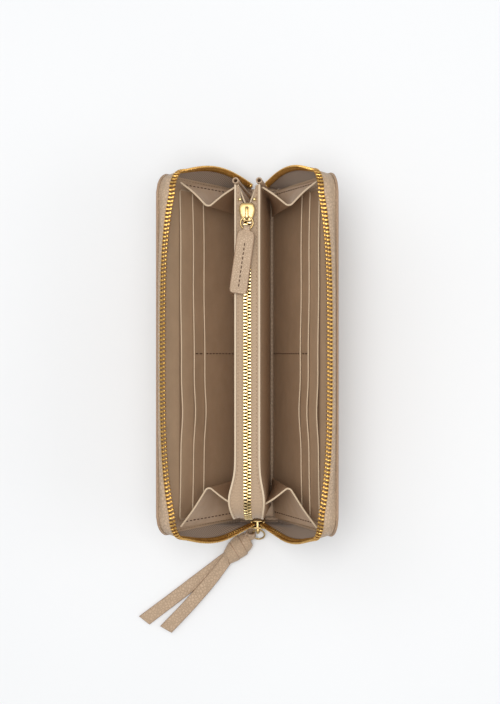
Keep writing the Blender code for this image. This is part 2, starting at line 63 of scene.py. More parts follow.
# ---- dimensions shared with the CAD -------------------------------------------------------------
OPEN = math.radians(21.3)
COS_OPEN, SIN_OPEN = math.cos(OPEN), math.sin(OPEN)
HINGE_X, HINGE_Z = 11.4, 1.5
HALF_LENGTH, COVER_HEIGHT, CORNER = 96.0, 98.0, 12.0
LEATHER = 1.2
COIN_HALF, COIN_WALL, COIN_TOP, CHAIN_Z = 6.8, 1.0, 90.2, 89.6
COIN_BACK, COIN_FRONT, COIN_BEND = 89.2, -87.0, 12.0
CHAIN_U, CHAIN_END_Y, CHAIN_TOP_V = 9.1, 97.2, 98.7
CHAIN_LIFT, CHAIN_LEAN_BACK, CHAIN_BULGE = 4.3, 3.2, 5.0
ZIP_FOOT_V, MAIN_PITCH, COIN_PITCH = 34.0, 2.07, 1.75
COIN_SLIDER_Y, MAIN_SLIDER_Z = 74.5, 10.0
SIDES = ((-1, "left"), (1, "right"))


# ---- materials ----------------------------------------------------------------------------------
class Look:
    """A node material being put together."""

    def __init__(self, name, roughness=0.6, metallic=0.0, specular=0.4):
        self.material = bpy.data.materials.new(name)
        self.material.use_nodes = True
        self.tree = self.material.node_tree
        self.shader = self.tree.nodes["Principled BSDF"]
        self.shader.inputs["Roughness"].default_value = roughness
        self.shader.inputs["Metallic"].default_value = metallic
        self.shader.inputs["Specular IOR Level"].default_value = specular

    def feed(self, socket, value):
        """Links a socket to another node's output, or sets its value."""
        if isinstance(value, bpy.types.NodeSocket):
            self.tree.links.new(value, socket)
        else:
            socket.default_value = value

    def node(self, kind, inputs=None, **settings):
        made = self.tree.nodes.new(kind)
        for key, value in settings.items():
            setattr(made, key, value)
        for key, value in (inputs or {}).items():
            self.feed(made.inputs[key], value)
        return made

    def place(self, size, kind="Object"):
        """Coordinates in which one unit is size millimetres; size may be a triple."""
        source = self.node("ShaderNodeTexCoord")
        triple = size if hasattr(size, "__len__") else (size, size, size)
        scale = tuple(1 / (s * MM) for s in triple)
        return self.node("ShaderNodeMapping", {"Vector": source.outputs[kind], "Scale": scale}).outputs[0]

    def noise(self, where, scale=1.0, detail=2.0, rough=0.5):
        settings = {"Vector": where, "Scale": scale, "Detail": detail, "Roughness": rough}
        return self.node("ShaderNodeTexNoise", settings).outputs["Fac"]

    def cells(self, where):
        """Distance from the edges between cells one unit across."""
        settings = {"Vector": where, "Scale": 1.0}
        return self.node("ShaderNodeTexVoronoi", settings, feature="DISTANCE_TO_EDGE").outputs["Distance"]

    def ramp(self, value, stops):
        """A ramp from (position, number or colour) stops."""
        made = self.node("ShaderNodeValToRGB", {"Fac": value})
        marks = made.color_ramp.elements
        while len(marks) < len(stops):
            marks.new(0.5)
        for mark, (position, colour) in zip(marks, stops):
            mark.position = position
            mark.color = tuple(colour) + (1,) if hasattr(colour, "__len__") else (colour, colour, colour, 1)
        return made.outputs["Color"]

    def patches(self, noise, colour, dark, light, low=0.3):
        """The colour, between its dark and light shares as the noise goes from low to 1 - low."""
        return self.ramp(noise, ((low, scaled(colour, dark)), (1 - low, scaled(colour, light))))

    def math(self, operation, *values):
        return self.node("ShaderNodeMath", dict(enumerate(values)), operation=operation).outputs[0]

    def gaps(self, pattern, amount):
        """From 0 on a pattern's tops to amount in its gaps."""
        return self.math("MULTIPLY", self.math("SUBTRACT", 1.0, pattern), amount)

    def mix(self, share, first, second):
        made = self.node("ShaderNodeMix", data_type="RGBA")
        for key, value in ((0, share), (6, first), (7, second)):
            self.feed(made.inputs[key], value + (1,) if isinstance(value, tuple) else value)
        return made.outputs[2]

    def finish(self, colour, bumps=(), roughness=None):
        """Joins the colour, bumps as (height, strength, depth in mm) and a roughness to the shader."""
        self.feed(self.shader.inputs["Base Color"], colour)
        wired = {}
        for height, strength, depth in bumps:
            wired.update({"Height": height, "Strength": strength, "Distance": depth * MM})
            wired["Normal"] = self.node("ShaderNodeBump", wired).outputs[0]
        if bumps:
            self.feed(self.shader.inputs["Normal"], wired["Normal"])
        if roughness is not None:
            self.feed(self.shader.inputs["Roughness"], roughness)
        return self.material


def linear(red, green, blue):
    """A linear colour from 0 to 255 display values."""
    channels = [c / 255 for c in (red, green, blue)]
    return tuple(c / 12.92 if c <= 0.04045 else ((c + 0.055) / 1.055) ** 2.4 for c in channels)


def scaled(colour, share):
    return tuple(c * share for c in colour)


def pebbled(name, colour, cell=1.7, depth=0.3, crease_shade=0.6, roughness=0.5):
    """Grained leather: raised pebbles about a cell across, with painted shade darkening the creases between
    them.
    """
    look = Look(name, roughness, specular=0.42)
    where = look.place(cell)
    warp = look.node("ShaderNodeTexNoise", {"Vector": where, "Scale": 0.9, "Detail": 2.0}).outputs["Color"]
    inputs = {0: warp, 1: (0.7, 0.7, 0.7), 2: where}
    bent = look.node("ShaderNodeVectorMath", inputs, operation="MULTIPLY_ADD").outputs[0]
    pebble = look.ramp(look.cells(bent), ((0.0, 0.0), (0.14, 0.75), (0.4, 1.0)))
    tone = look.patches(look.noise(look.place(9), 1.0, 3.0), colour, 0.96, 1.04)
    # Painted shade: the creases between the pebbles are darkened towards 0.6 of the colour.
    crease_shaded = look.mix(look.gaps(pebble, crease_shade), tone, scaled(colour, 0.6))
    grain = look.noise(where, 3.5, 4.0, 0.6)
    gloss = look.ramp(grain, ((0.3, roughness - 0.06), (0.7, roughness + 0.1)))
    return look.finish(crease_shaded, ((pebble, 0.75, depth), (grain, 0.35, 0.05)), gloss)


def smooth_leather(name, colour, roughness=0.52, grain=0.5):
    """Thin finished leather with a fine pore grain, painted shade darkening its pores, and faint handling
    marks.
    """
    look = Look(name, roughness)
    pores = look.ramp(look.cells(look.place(grain)), ((0.0, 0.0), (0.25, 1.0)))
    tone = look.patches(look.noise(look.place(14), 1.0, 4.0, 0.6), colour, 0.93, 1.06)
    # Painted shade: the pores are darkened towards 0.7 of the colour.
    pore_shaded = look.mix(look.gaps(pores, 0.22), tone, scaled(colour, 0.7))
    waves = look.noise(look.place(6), 1.0, 2.0)
    gloss = look.ramp(waves, ((0.3, roughness - 0.06), (0.7, roughness + 0.08)))
    return look.finish(pore_shaded, ((pores, 0.5, 0.05), (waves, 0.5, 0.12)), gloss)


def woven(name, colour, rib, gap_shade):
    """Zip tape: slanted cross ribs that turn back at each wale, over fine warp threads, with painted shade in
    the gaps between them; uses UVs.
    """
    wale, warp_pitch = 1.3, 0.42
    look = Look(name, 0.85, specular=0.2)
    look.shader.inputs["Sheen Weight"].default_value = 0.2
    parts = look.node("ShaderNodeSeparateXYZ", {"Vector": look.place(1, "UV")})
    along, across = parts.outputs["X"], parts.outputs["Y"]
    slanted = look.math("MULTIPLY_ADD", look.math("PINGPONG", across, wale), 0.3, along)
    wave = look.math("SINE", look.math("MULTIPLY", slanted, 2 * math.pi / rib))
    ribs = look.math("MULTIPLY_ADD", wave, 0.5, 0.5)
    warp = look.math("SINE", look.math("MULTIPLY", across, 2 * math.pi / warp_pitch))
    weave = look.math("MULTIPLY", ribs, look.math("MULTIPLY_ADD", warp, 0.2, 0.8))
    fibres = look.noise(look.place(0.28), 1.0, 3.0, 0.7)
    tone = look.patches(fibres, colour, 0.88, 1.1, 0.25)
    # Painted shade: the gaps between ribs and threads are darkened towards 0.3 of the colour.
    rib_shaded = look.mix(look.gaps(weave, gap_shade), tone, scaled(colour, 0.3))
    return look.finish(rib_shaded, ((weave, 0.8, 0.14), (fibres, 0.4, 0.04)))


def metal(name, colour, tarnish, roughness, patch=1.4):
    """Brass with a thin patchy tarnish over fine scuffs."""
    look = Look(name, roughness, 1.0)
    tone = look.ramp(look.noise(look.place(patch), 1.0, 3.0, 0.6), ((0.35, tarnish), (0.62, colour)))
    scuffs = look.noise(look.place((0.4, 0.4, 1.6)), 1.0, 4.0, 0.7)
    gloss = look.ramp(scuffs, ((0.3, roughness * 0.8), (0.8, roughness * 1.5)))
    return look.finish(tone, ((scuffs, 0.25, 0.02),), gloss)


def matt(name, colour, roughness=0.8, grain=0.35):
    """Thread, edge paint or board: one colour broken up by fine noise."""
    look = Look(name, roughness, specular=0.3)
    specks = look.noise(look.place(grain), 1.0, 3.0, 0.6)
    return look.finish(look.patches(specks, colour, 0.85, 1.1), ((specks, 0.4, 0.03),))


LOOKS = {
    "leather": pebbled("leather_pebbled", linear(195, 168, 140)),
    "leather_small": pebbled("leather_small_goods", linear(187, 160, 132), 1.1, 0.18, 0.5),
    "leather_strap": pebbled("leather_strap_pebbled", linear(186, 159, 131), 1.6, 0.26, 0.5),
    "leather_fine": pebbled("leather_fine_grain", linear(200, 173, 145), 0.8, 0.12, 0.45),
    "lining": smooth_leather("leather_lining", linear(189, 160, 130)),
    # Painted shade: the gusset look is the lining leather made darker for the shaded ends of the wallet.
    "gusset": smooth_leather("lining_leather_shaded_copy", linear(182, 152, 123)),
    "edge": matt("painted_edge", linear(200, 178, 150), 0.45),
    "dark_edge": matt("painted_edge_dark", linear(160, 132, 108), 0.5),
    "tape": woven("zip_tape_weave", linear(196, 168, 141), MAIN_PITCH, 0.85),
    "coin_tape": woven("coin_tape_weave", linear(191, 164, 136), 0.8, 0.45),
    "thread": matt("thread_dark", linear(84, 62, 46)),
    "pale_thread": matt("thread_pale", linear(150, 124, 102)),
    "board": matt("fibre_board", linear(150, 128, 100), 0.95, 0.8),
    "antique": metal("antique_brass_aged", linear(226, 183, 106), linear(200, 152, 78), 0.34),
    # One polished brass in two copies: a lighter one for the coin zip's teeth and stops, painted light, and a
    # darker one for the sliders and rings, painted shade against the softbox's reflection.
    "polished": metal("polished_brass_lit_copy", linear(226, 204, 158), linear(206, 178, 122), 0.34, 3.0),
    "slider": metal("polished_brass_shaded_copy", linear(198, 172, 124), linear(180, 150, 98), 0.36, 3.0),
    # Painted shade: a dark brown for the tape's bead, which shows in the gaps between the teeth.
    "bead_painted_shade": matt("tape_bead_painted_shade", linear(92, 66, 40), 0.85),
}


# ---- mesh helpers -------------------------------------------------------------------------------
def build(name, shell, looks, side=-1, body=None, slot=None, replaces=(), uvs=None, picks=None, sharp=50):
    """A mesh object in metres from (points, faces) in millimetres, its normals turned outwards."""
    mesh = bpy.data.meshes.new(name)
    mesh.from_pydata((flip(shell[0], side) * MM).tolist(), [], shell[1])
    if uvs is not None:
        layer = mesh.uv_layers.new(name="cloth")
        corners = np.empty(len(mesh.loops), int)
        mesh.loops.foreach_get("vertex_index", corners)
        layer.data.foreach_set("uv", (np.asarray(uvs, float)[corners] * MM).ravel())
    if picks is not None:
        mesh.polygons.foreach_set("material_index", picks)
    work = bmesh.new()
    work.from_mesh(mesh)
    bmesh.ops.remove_doubles(work, verts=work.verts, dist=1e-7)
    bmesh.ops.recalc_face_normals(work, faces=work.faces)
    work.to_mesh(mesh)
    work.free()
    for look in [looks] if isinstance(looks, str) else looks:
        mesh.materials.append(LOOKS[look])
    mesh.shade_smooth()
    mesh.set_sharp_from_angle(angle=math.radians(sharp))
    obj = bpy.data.objects.new(name, mesh)
    bpy.context.scene.collection.objects.link(obj)
    if replaces:
        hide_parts(*replaces)
    if body:
        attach(obj, body)
    return obj


def flip(points, side):
    """Points drawn for the left side, mirrored when side is +1."""
    return np.asarray(points, float) * [-side, 1, 1]


def unit(vectors):
    return vectors / np.maximum(np.linalg.norm(vectors, axis=-1, keepdims=True), 1e-9)


def measured(path):
    """Distance along a path at each of its points."""
    path = np.asarray(path, float)
    return np.concatenate([[0], np.cumsum(np.linalg.norm(np.diff(path, axis=0), axis=1))])


def at(path, lengths, where):
    """Points of a path at distances along it."""
    path = np.asarray(path, float)
    return np.stack([np.interp(where, lengths, path[:, k]) for k in range(path.shape[1])], -1)


def stepped(path, step):
    """A path's points again, a step apart."""
    spots = measured(path)
    return at(path, spots, np.arange(0, spots[-1], step))


def curve(points, count=8):
    """A smooth curve through points, with count steps between two of them."""
    p = np.asarray(points, float)
    p = np.vstack([2 * p[0] - p[1], p, 2 * p[-1] - p[-2]])
    found = []
    for k in range(1, len(p) - 2):
        a, b, c, d = p[k - 1 : k + 3]
        for t in np.linspace(0, 1, count, endpoint=False):
            found.append(0.5 * (2 * b + (c - a) * t + (2 * a - 5 * b + 4 * c - d) * t**2
                                + (3 * b - a - 3 * c + d) * t**3))
    return np.array(found + [p[-2]])


def cubic(a, b, c, d, t):
    """A Bezier curve's points at the shares t."""
    return a * (1 - t) ** 3 + b * 3 * t * (1 - t) ** 2 + c * 3 * t * t * (1 - t) + d * t**3


def spread(low, high, count, close):
    """Values from low to high, closer together within `close` of both ends, which are rounded off."""
    near = close * np.array([0.0, 0.06, 0.22, 0.5, 1.0])
    start, stop = near + low, high - near[::-1]
    return np.concatenate([start, np.linspace(start[-1], stop[0], count + 1)[1:-1], stop])


def normals_of(middle):
    """Unit normals of a grid of points."""
    return unit(np.cross(np.gradient(middle, axis=0), np.gradient(middle, axis=1)))


def far_rim(middle):
    """A rim that is nowhere near, to be filled in along the edges that are rounded off."""
    return np.full(middle.shape[:2], 99.0)


def sheet(name, middle, half, looks, rim=None, paint=0.0, marked=None, outside=0, **options):
    """A closed sheet around a grid of points, half thick to each side.

    rim is each point's distance to the rounded-off edge. Faces within paint of it take the second look, as
    the paint on a cut edge does, and so do faces with a marked corner. With outside at 1 or -1, the other
    faces on that side of the grid take the third look.
    """
    middle = np.asarray(middle, float)
    rows, columns, _ = middle.shape
    distance = far_rim(middle) if rim is None else rim
    round_off = 1 - np.clip(distance / np.minimum(half, 0.6), 0, 1)
    height = (half * np.sqrt(np.maximum(0, 1 - round_off**2)))[..., None] * normals_of(middle)
    points = np.concatenate([(middle + height).reshape(-1, 3), (middle - height).reshape(-1, 3)])
    along = np.concatenate([[0], np.cumsum(np.linalg.norm(np.diff(middle, axis=0), axis=2).mean(axis=1))])
    steps = np.linalg.norm(np.diff(middle, axis=1), axis=2)
    over = np.concatenate([np.zeros((rows, 1)), np.cumsum(steps, axis=1)], axis=1)
    uvs = np.stack([np.broadcast_to(along[:, None], over.shape), over], -1).reshape(-1, 2)
    low = distance < paint if marked is None else marked
    inside = rows * columns
    index = np.arange(inside).reshape(rows, columns)
    p, q, r, s = index[:-1, :-1], index[1:, :-1], index[1:, 1:], index[:-1, 1:]
    top = np.stack([p, q, r, s], -1).reshape(-1, 4)
    bottom = top[:, ::-1] + inside
    near = (low[:-1, :-1] | low[1:, :-1] | low[1:, 1:] | low[:-1, 1:]).reshape(-1)
    border = np.concatenate([index[:, 0][::-1], index[0, 1:], index[1:, -1], index[-1, ::-1][1:]])[:-1]
    after = np.roll(border, -1)
    walls = np.stack([border, after, after + inside, border + inside], -1)
    picks = np.concatenate([near, near, np.full(len(walls), paint > 0)]).astype(int)
    if outside:
        facing = slice(0, len(near)) if outside > 0 else slice(len(near), 2 * len(near))
        picks[facing] = np.where(near, 1, 2)
    shell = points, np.concatenate([top, bottom, walls]).tolist()
    return build(name, shell, looks, uvs=np.concatenate([uvs, uvs]), picks=picks, **options)


def tube_parts(sections, closed=False):
    """Points and faces of a tube through sections with the same number of points."""
    count, total = len(sections[0]), len(sections)
    faces = []
    for i in range(total if closed else total - 1):
        for j in range(count):
            p, q = i * count + j, i * count + (j + 1) % count
            step = ((i + 1) % total - i) * count
            faces.append((p, q, q + step, p + step))
    if not closed:
        faces.append(tuple(range(count))[::-1])
        faces.append(tuple(range((total - 1) * count, total * count)))
    return np.concatenate([np.asarray(s, float) for s in sections]), faces


def tube(name, sections, looks, closed=False, **options):
    return build(name, tube_parts(sections, closed), looks, **options)


def gathered(parts):
    """Several (points, faces) shells as one."""
    points, faces, offset = [], [], 0
    for part_points, part_faces in parts:
        points.append(np.asarray(part_points, float))
        faces += [tuple(k + offset for k in face) for face in part_faces]
        offset += len(part_points)
    return np.concatenate(points), faces


def turned(count, start=0.0):
    """Cosines and sines of even turns."""
    turns = start + np.arange(count) * 2 * math.pi / count
    return np.cos(turns), np.sin(turns)


def wire_ring(centre, across, along, radius, wire, turns=56, sides=14):
    """Sections of a ring of round wire in the plane of two directions."""
    across, along = unit(np.array(across, float)), unit(np.array(along, float))
    normal = np.cross(across, along)
    c, s = turned(turns)
    x, y = turned(sides)
    out = across * c[:, None] + along * s[:, None]
    return [np.asarray(centre) + o * (radius + wire * x)[:, None] + normal * (wire * y)[:, None] for o in out]


def stitch_parts(path, normals, length=2.3, gap=0.9, radius=0.2, lift=0.0):
    """Short threads on a path that dip into the leather at both ends."""
    path, normals = np.asarray(path, float), np.broadcast_to(np.asarray(normals, float), np.shape(path))
    spots = measured(path)
    count = max(1, int(spots[-1] / (length + gap)))
    pitch = spots[-1] / count
    heights = np.array([-0.9, 0.1, 0.55, 0.55, 0.1, -0.9]) * radius + lift
    x, y = turned(6)
    parts = []
    for k in range(count):
        stops = k * pitch + gap / 2 + (pitch - gap) * np.array([0.0, 0.1, 0.35, 0.65, 0.9, 1.0])
        centres, ups = at(path, spots, stops), unit(at(normals, spots, stops))
        sides = unit(np.cross(np.gradient(centres, axis=0), ups))
        parts.append(tube_parts([c + s * (radius * x)[:, None] + u * (h + radius * y)[:, None]
                                 for c, s, u, h in zip(centres, sides, ups, heights)]))
    return parts


def stitches(name, rows, look, side=-1, **options):
    """One object with the stitches of several (path, normals, settings) rows."""
    parts = []
    for path, normals, settings in rows:
        parts += stitch_parts(path, normals, **settings)
    return build(name, gathered(parts), look, side, slot="lining", **options)


# ---- places on the left side --------------------------------------------------------------------
def cover(u, y, v):
    """World points of the left cover's own coordinates, with the cover open."""
    u, y, v = np.broadcast_arrays(np.asarray(u, float), y, v)
    x = -HINGE_X + u * COS_OPEN - v * SIN_OPEN
    return np.stack([x, y, HINGE_Z + u * SIN_OPEN + v * COS_OPEN], -1)


COVER_UP = np.array([-SIN_OPEN, 0, COS_OPEN])
COVER_IN = np.array([COS_OPEN, 0, SIN_OPEN])
UP = np.array([0, 0, 1.0])
# Sheets with rounded top corners, as (half their length, height of their top, corner radius).
COVER_SHEET = (HALF_LENGTH, COVER_HEIGHT, CORNER)
LINING_SHEET = (95.2, 96.8, 11.2)


def half_at(v, half, top, radius):
    """Half the length of a sheet with rounded top corners, at height v."""
    inside = np.clip(v - (top - radius), 0, radius)
    return half - radius + np.sqrt(radius**2 - inside**2)


def rim_distance(y, v, half, top, radius):
    """Distance from a point to the sides and top of such a sheet."""
    across, up = np.abs(y) - (half - radius), v - (top - radius)
    outside = np.hypot(np.maximum(across, 0), np.maximum(up, 0))
    return radius - outside - np.minimum(np.maximum(across, up), 0)


def cover_grid(half, top, radius, v_low, close=1.2, columns=24, rows=14):
    """(y, v) grid of a sheet with rounded top corners, its lines closer near the rim."""
    b = spread(-1, 1, columns, close / half)
    corner = top - radius * np.cos(np.linspace(0.15, 1, 10) * math.pi / 2)[::-1]
    rim = top - close * np.array([0.22, 0.06, 0])
    v = np.concatenate([np.linspace(v_low, corner[0] - 2, rows), corner[:-1], rim])
    grid_v, grid_b = np.meshgrid(np.unique(np.round(v, 4)), b, indexing="ij")
    return grid_b * half_at(grid_v, half, top, radius), grid_v


def rim_path(inset, low, half, top, radius):
    """(y, v) points along a sheet's sides and top, an inset inside its rim."""
    turns = np.linspace(0, math.pi / 2, 14)
    arc_y = half - radius + (radius - inset) * np.cos(turns)
    arc_v = top - radius + (radius - inset) * np.sin(turns)
    right = np.stack([np.append(half - inset, arc_y), np.append(low, arc_v)], -1)
    return stepped(np.concatenate([right, (right * [-1, 1])[::-1]]), 1.5)


# ---- covers -------------------------------------------------------------------------------------
FOLD = ((0, 0), (-5, 0), (-9.0, 0), (-10.6, 0.0), (-11.7, 0.3), (-12.4, 0.95), (-12.88, 2.0), (-13.61, 3.86))
RIM_STITCH = 2.2


def outer_leather(side, word):
    """Half of the one outer skin: from the middle of the spine's underside, round the fold, up a cover."""
    y, v = cover_grid(*COVER_SHEET, 4.2, columns=30, rows=16)
    rim = rim_distance(y, v, *COVER_SHEET)
    crown = 0.9 * np.sin(np.clip((v - 3) / 92, 0, 1) * math.pi) * (1 - np.clip(np.abs(y) / 95, 0, 1) ** 4)
    seam = 0.25 * np.exp(-(((rim - RIM_STITCH) / 0.5) ** 2))
    bend = curve(FOLD, 5)
    slope = unit(np.gradient(bend, axis=0))
    inner = bend + np.stack([-slope[:, 1], slope[:, 0]], -1) * -LEATHER / 2
    lower = np.stack(np.broadcast_arrays(inner[:, :1], y[0], inner[:, 1:]), -1)
    middle = np.concatenate([lower, cover(-LEATHER / 2 - crown + seam, y, v)])
    rim = np.concatenate([HALF_LENGTH - np.abs(lower[..., 1]), rim])
    skin = sheet(f"outer_leather_{word}", flip(middle, side), LEATHER / 2, ("leather", "dark_edge"), rim,
                 0.12, slot="leather", replaces=[f"cover_{word}_leather", "spine_leather"])
    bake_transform(skin)


def cover_lining(side, word):
    """The lining, dipping at its rim to the leather that it is sewn to."""
    y, v = cover_grid(*LINING_SHEET, 2.0, close=1.0)
    rim = rim_distance(y, v, *LINING_SHEET)
    u = 0.9 + 0.6 * np.clip((rim - 1.0) / 5.0, 0, 1) ** 0.7
    sheet(f"cover_lining_{word}", flip(cover(u, y, v), side), 0.3, ("lining", "edge"), rim, 0.1,
          body=f"{word}_cover", slot="lining", replaces=[f"cover_{word}_lining"])


# Each pocket sheet's name, its distance from the cover, the height of its mouth, and how far it bows out.
POCKETS = (("slip_pocket", 2.35, 78.0, 0.7), ("card_slots_back", 3.15, 65.0, 1.0),
           ("card_slots_front", 3.95, 54.0, 1.25))
POCKET_HALF, POCKET_CORNER = 88.8, 2.5


def pocket_u(base, reach, y, v):
    """How far a pocket sheet stands off its cover: it bows out between its sewn sides, most at its mouth."""
    share = np.clip(np.abs(y) / POCKET_HALF, 0, 1)
    slack = 0.9 + 0.25 * np.cos(y / 11.0) + 1.5 * np.exp(-(((y + 32) / 13) ** 2))
    return base + reach * slack * (1 - share**2.4) * (np.clip(v, 0, 99) / 66) ** 1.3


def thick_at_edge(plain, extra, depth, width):
    """Half a sheet's thickness, which grows towards a turned edge from about a width away."""
    return plain + extra * np.exp(-((depth / width) ** 2))


def press_pocket(piece, side):
    """Gives a pocket sheet or its seam a mesh of its own; the anchor and direction it works out are not used.
    """
    anchor = flip(cover(1.9, 0, 40), side) * MM
    flip(COVER_IN, side)
    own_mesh(piece)


def pockets(side, word):
    """The slip pocket and the two card panels, each with a turned and painted mouth."""
    for name, base, top, reach in POCKETS:
        y, v = cover_grid(POCKET_HALF, top, POCKET_CORNER, 3.0, close=0.8, columns=36)
        shape = flip(cover(pocket_u(base, reach, y, v), y, v), side)
        thick = thick_at_edge(0.25, 0.17, top - v, 0.8)
        rim = rim_distance(y, v, POCKET_HALF, top, POCKET_CORNER)
        piece = sheet(f"{name}_panel_{word}", shape, thick, ("lining", "edge"), rim, 0.5,
                      body=f"{word}_cover", slot="lining", replaces=[f"{name}_{word}"])
        press_pocket(piece, side)


def cover_stitches(side, word):
    """Seams that ride on a cover: the outer rim, the lining's rim, and the middle of the card panels."""
    outer, inner = rim_path(RIM_STITCH, 6, *COVER_SHEET), rim_path(1.2, 4, *LINING_SHEET)
    for name, path, u, normal, radius in (("rim", outer, -LEATHER - 0.02, -COVER_IN, 0.22),
                                          ("lining", inner, 1.2, COVER_IN, 0.15)):
        rows = [(cover(u, *path.T), normal, {"radius": radius})]
        stitches(f"{name}_stitches_{word}", rows, "pale_thread", side, body=f"{word}_cover")
    rows = []
    for (_, base, _, reach), low, high, count in ((POCKETS[2], 4, 53.2, 40), (POCKETS[1], 54.6, 64.6, 12)):
        v = np.linspace(low, high, count)
        path = cover(pocket_u(base, reach, 0.5, v) + 0.27, 0.5, v)
        rows.append((path, COVER_IN, {"length": 1.9, "gap": 1.9, "radius": 0.32}))
    press_pocket(stitches(f"card_stitches_{word}", rows, "thread", side, body=f"{word}_cover"), side)


# ---- the main zip -------------------------------------------------------------------------------
SEWN_U, SEWN_INSET, LONG_SIDE_ROLL = 0.4, 1.0, 34.0


def main_zip_lines():
    """World points of the sewn edge and of the chain's middle, from the -Y end round to the +Y end."""
    straight_y, straight_v, reach = HALF_LENGTH - CORNER, COVER_HEIGHT - CORNER, CORNER - SEWN_INSET
    out_y, out_v = CHAIN_END_Y - straight_y, CHAIN_TOP_V - straight_v

    def end(sign, low):
        v = np.linspace(low, straight_v, 60, endpoint=False)
        bow = CHAIN_BULGE * np.sin(math.pi * np.clip((v - 4) / (straight_v - 4), 0, 1))
        sewn = cover(SEWN_U, sign * (HALF_LENGTH - SEWN_INSET), v)
        return sewn, cover(CHAIN_U, sign * (CHAIN_END_Y + bow), v)

    def corner(sign):
        t = np.linspace(0, math.pi / 2, 30, endpoint=False)
        c, s = np.cos(t), np.sin(t)
        return (cover(SEWN_U, sign * (straight_y + reach * c), straight_v + reach * s),
                cover(CHAIN_U, sign * (straight_y + out_y * c), straight_v + out_v * s))

    y = np.linspace(-straight_y, straight_y, 161)
    swell = 1 - (np.abs(y) / straight_y) ** 3.5
    top = (cover(SEWN_U, y, COVER_HEIGHT - SEWN_INSET),
           cover(CHAIN_U - CHAIN_LEAN_BACK * swell, y, CHAIN_TOP_V + CHAIN_LIFT * swell))
    stretches = zip(end(-1, ZIP_FOOT_V), corner(-1), top, corner(1), end(1, 7.0))
    return [np.concatenate([front, turn, over, turn_back[::-1], back[::-1]])
            for front, turn, over, turn_back, back in stretches]


def foot_lines(sewn, chain):
    """The same two lines for the zip's foot: up from the slider and out to the open cover."""
    join_edge, join_chain, low_edge = sewn[0], chain[0], cover(SEWN_U, -95.0, 3.0)
    first = curve([(-x, -CHAIN_END_Y, z) for x, z in ((1.9, 4.9), (1.9, 9.0), (2.4, 11.5), (3.0, 15.0))], 6)
    start, slope = first[-1], unit(chain[1] - join_chain) * 8
    t = np.linspace(0, 1, 40)[1:, None]
    second = cubic(start, start + np.array([-1.6, 0, 7]), join_chain - slope, join_chain, t)
    line = np.concatenate([first, second])
    share = (line[:, 2] - line[0, 2]) / (line[-1, 2] - line[0, 2])
    edge = low_edge + (join_edge - low_edge) * share[:, None]
    free = np.clip((line[:, 2] - 15.5) / (line[-1, 2] - 15.5), 0, 1)
    edge[:, 1] = -CHAIN_END_Y + (join_edge[1] + CHAIN_END_Y) * free
    return edge, line


def zip_frames(sewn, chain, step=None, start=0.0, lean=None):
    """(middle, along, across, normal, edge) along the chain; across points from the tape to the teeth.

    Without a step the frames are 1.4 mm apart and reach both ends. lean turns across about the chain, by
    the degrees that it gives for the frames' middles.
    """
    spots = measured(chain)
    where = np.arange(start, spots[-1], step) if step else np.linspace(0, spots[-1], int(spots[-1] / 1.4) + 1)
    middles, edges = at(chain, spots, where), at(sewn, spots, where)
    along = unit(at(chain, spots, where + 0.6) - at(chain, spots, where - 0.6))
    across = middles - edges
    across = unit(across - along * np.sum(across * along, axis=1, keepdims=True))
    normal = np.cross(along, across)
    if lean is not None:
        turn = np.radians(lean(middles))[:, None]
        c, s = np.cos(turn), np.sin(turn)
        across, normal = across * c + normal * s, normal * c - across * s
    return middles, along, across, normal, edges


def roll_in(middles):
    """The chain rolls inwards over its tape along the cover's long side, in degrees."""
    height = (middles - cover(0, 0, 0)) @ COVER_UP
    return LONG_SIDE_ROLL * np.clip((height - 92) / 8, 0, 1)


def zip_tape(name, sewn, chain, side, replaces, body=None, tucked=None):
    """The tape from its sewn edge, curving over to the thicker bead that the teeth grip."""
    middles, _, across, _, edges = zip_frames(sewn, chain, lean=roll_in)
    neck = middles - across * 1.7
    reach = np.linalg.norm(neck - edges, axis=1)[:, None]
    start, stop = edges + unit(neck - edges) * reach * 0.33, neck - across * reach * 0.45
    shares = (0.0, 0.02, 0.07, 0.16, 0.28, 0.42, 0.56, 0.7, 0.84, 1.0)
    columns = [cubic(edges, start, stop, neck, t) for t in shares]
    flat = len(columns)
    columns += [middles - across * c for c in (1.3, 1.0, 0.75, 0.55)]
    middle = np.stack(columns, axis=1)
    if tucked is not None:
        middle = tucked(middle)
        flat = middle.shape[1] - 4
    thick = np.broadcast_to(np.array([0.24] * flat + [0.42, 0.55, 0.5, 0.3]), middle.shape[:2])
    # The bead's faces take the dark brown bead look, painted shade between the teeth.
    rim, bead_painted_shade = far_rim(middle), np.zeros(middle.shape[:2], bool)
    rim[:, 0], rim[:, 1], rim[:, -1] = 0.0, 0.2, 0.25
    bead_painted_shade[:, flat:] = True
    return sheet(name, flip(middle, side), thick, ("tape", "bead_painted_shade", "leather"), rim, marked=bead_painted_shade, outside=side,
                 slot="zip_tape", replaces=replaces, body=body)


# Teeth as sections from the back of their legs to the nib: (across, low and high along, half thickness).
MAIN_TOOTH = ((-1.75, -0.42, 0.42, 0.75), (-1.45, -0.56, 0.56, 0.98), (-0.25, -0.55, 0.55, 1.0),
              (0.05, -0.46, 0.5, 0.8), (0.4, -0.3, 0.75, 0.74), (0.75, -0.16, 1.12, 0.74),
              (1.2, -0.14, 1.14, 0.7), (1.48, -0.02, 0.95, 0.55), (1.6, 0.2, 0.7, 0.35))
COIN_TOOTH = ((-2.1, -0.34, 0.34, 0.7), (-1.9, -0.52, 0.52, 0.92), (-0.6, -0.54, 0.54, 0.95),
              (-0.25, -0.38, 0.38, 0.86), (0.15, -0.36, 0.36, 0.8), (0.32, -0.26, 0.26, 0.6))


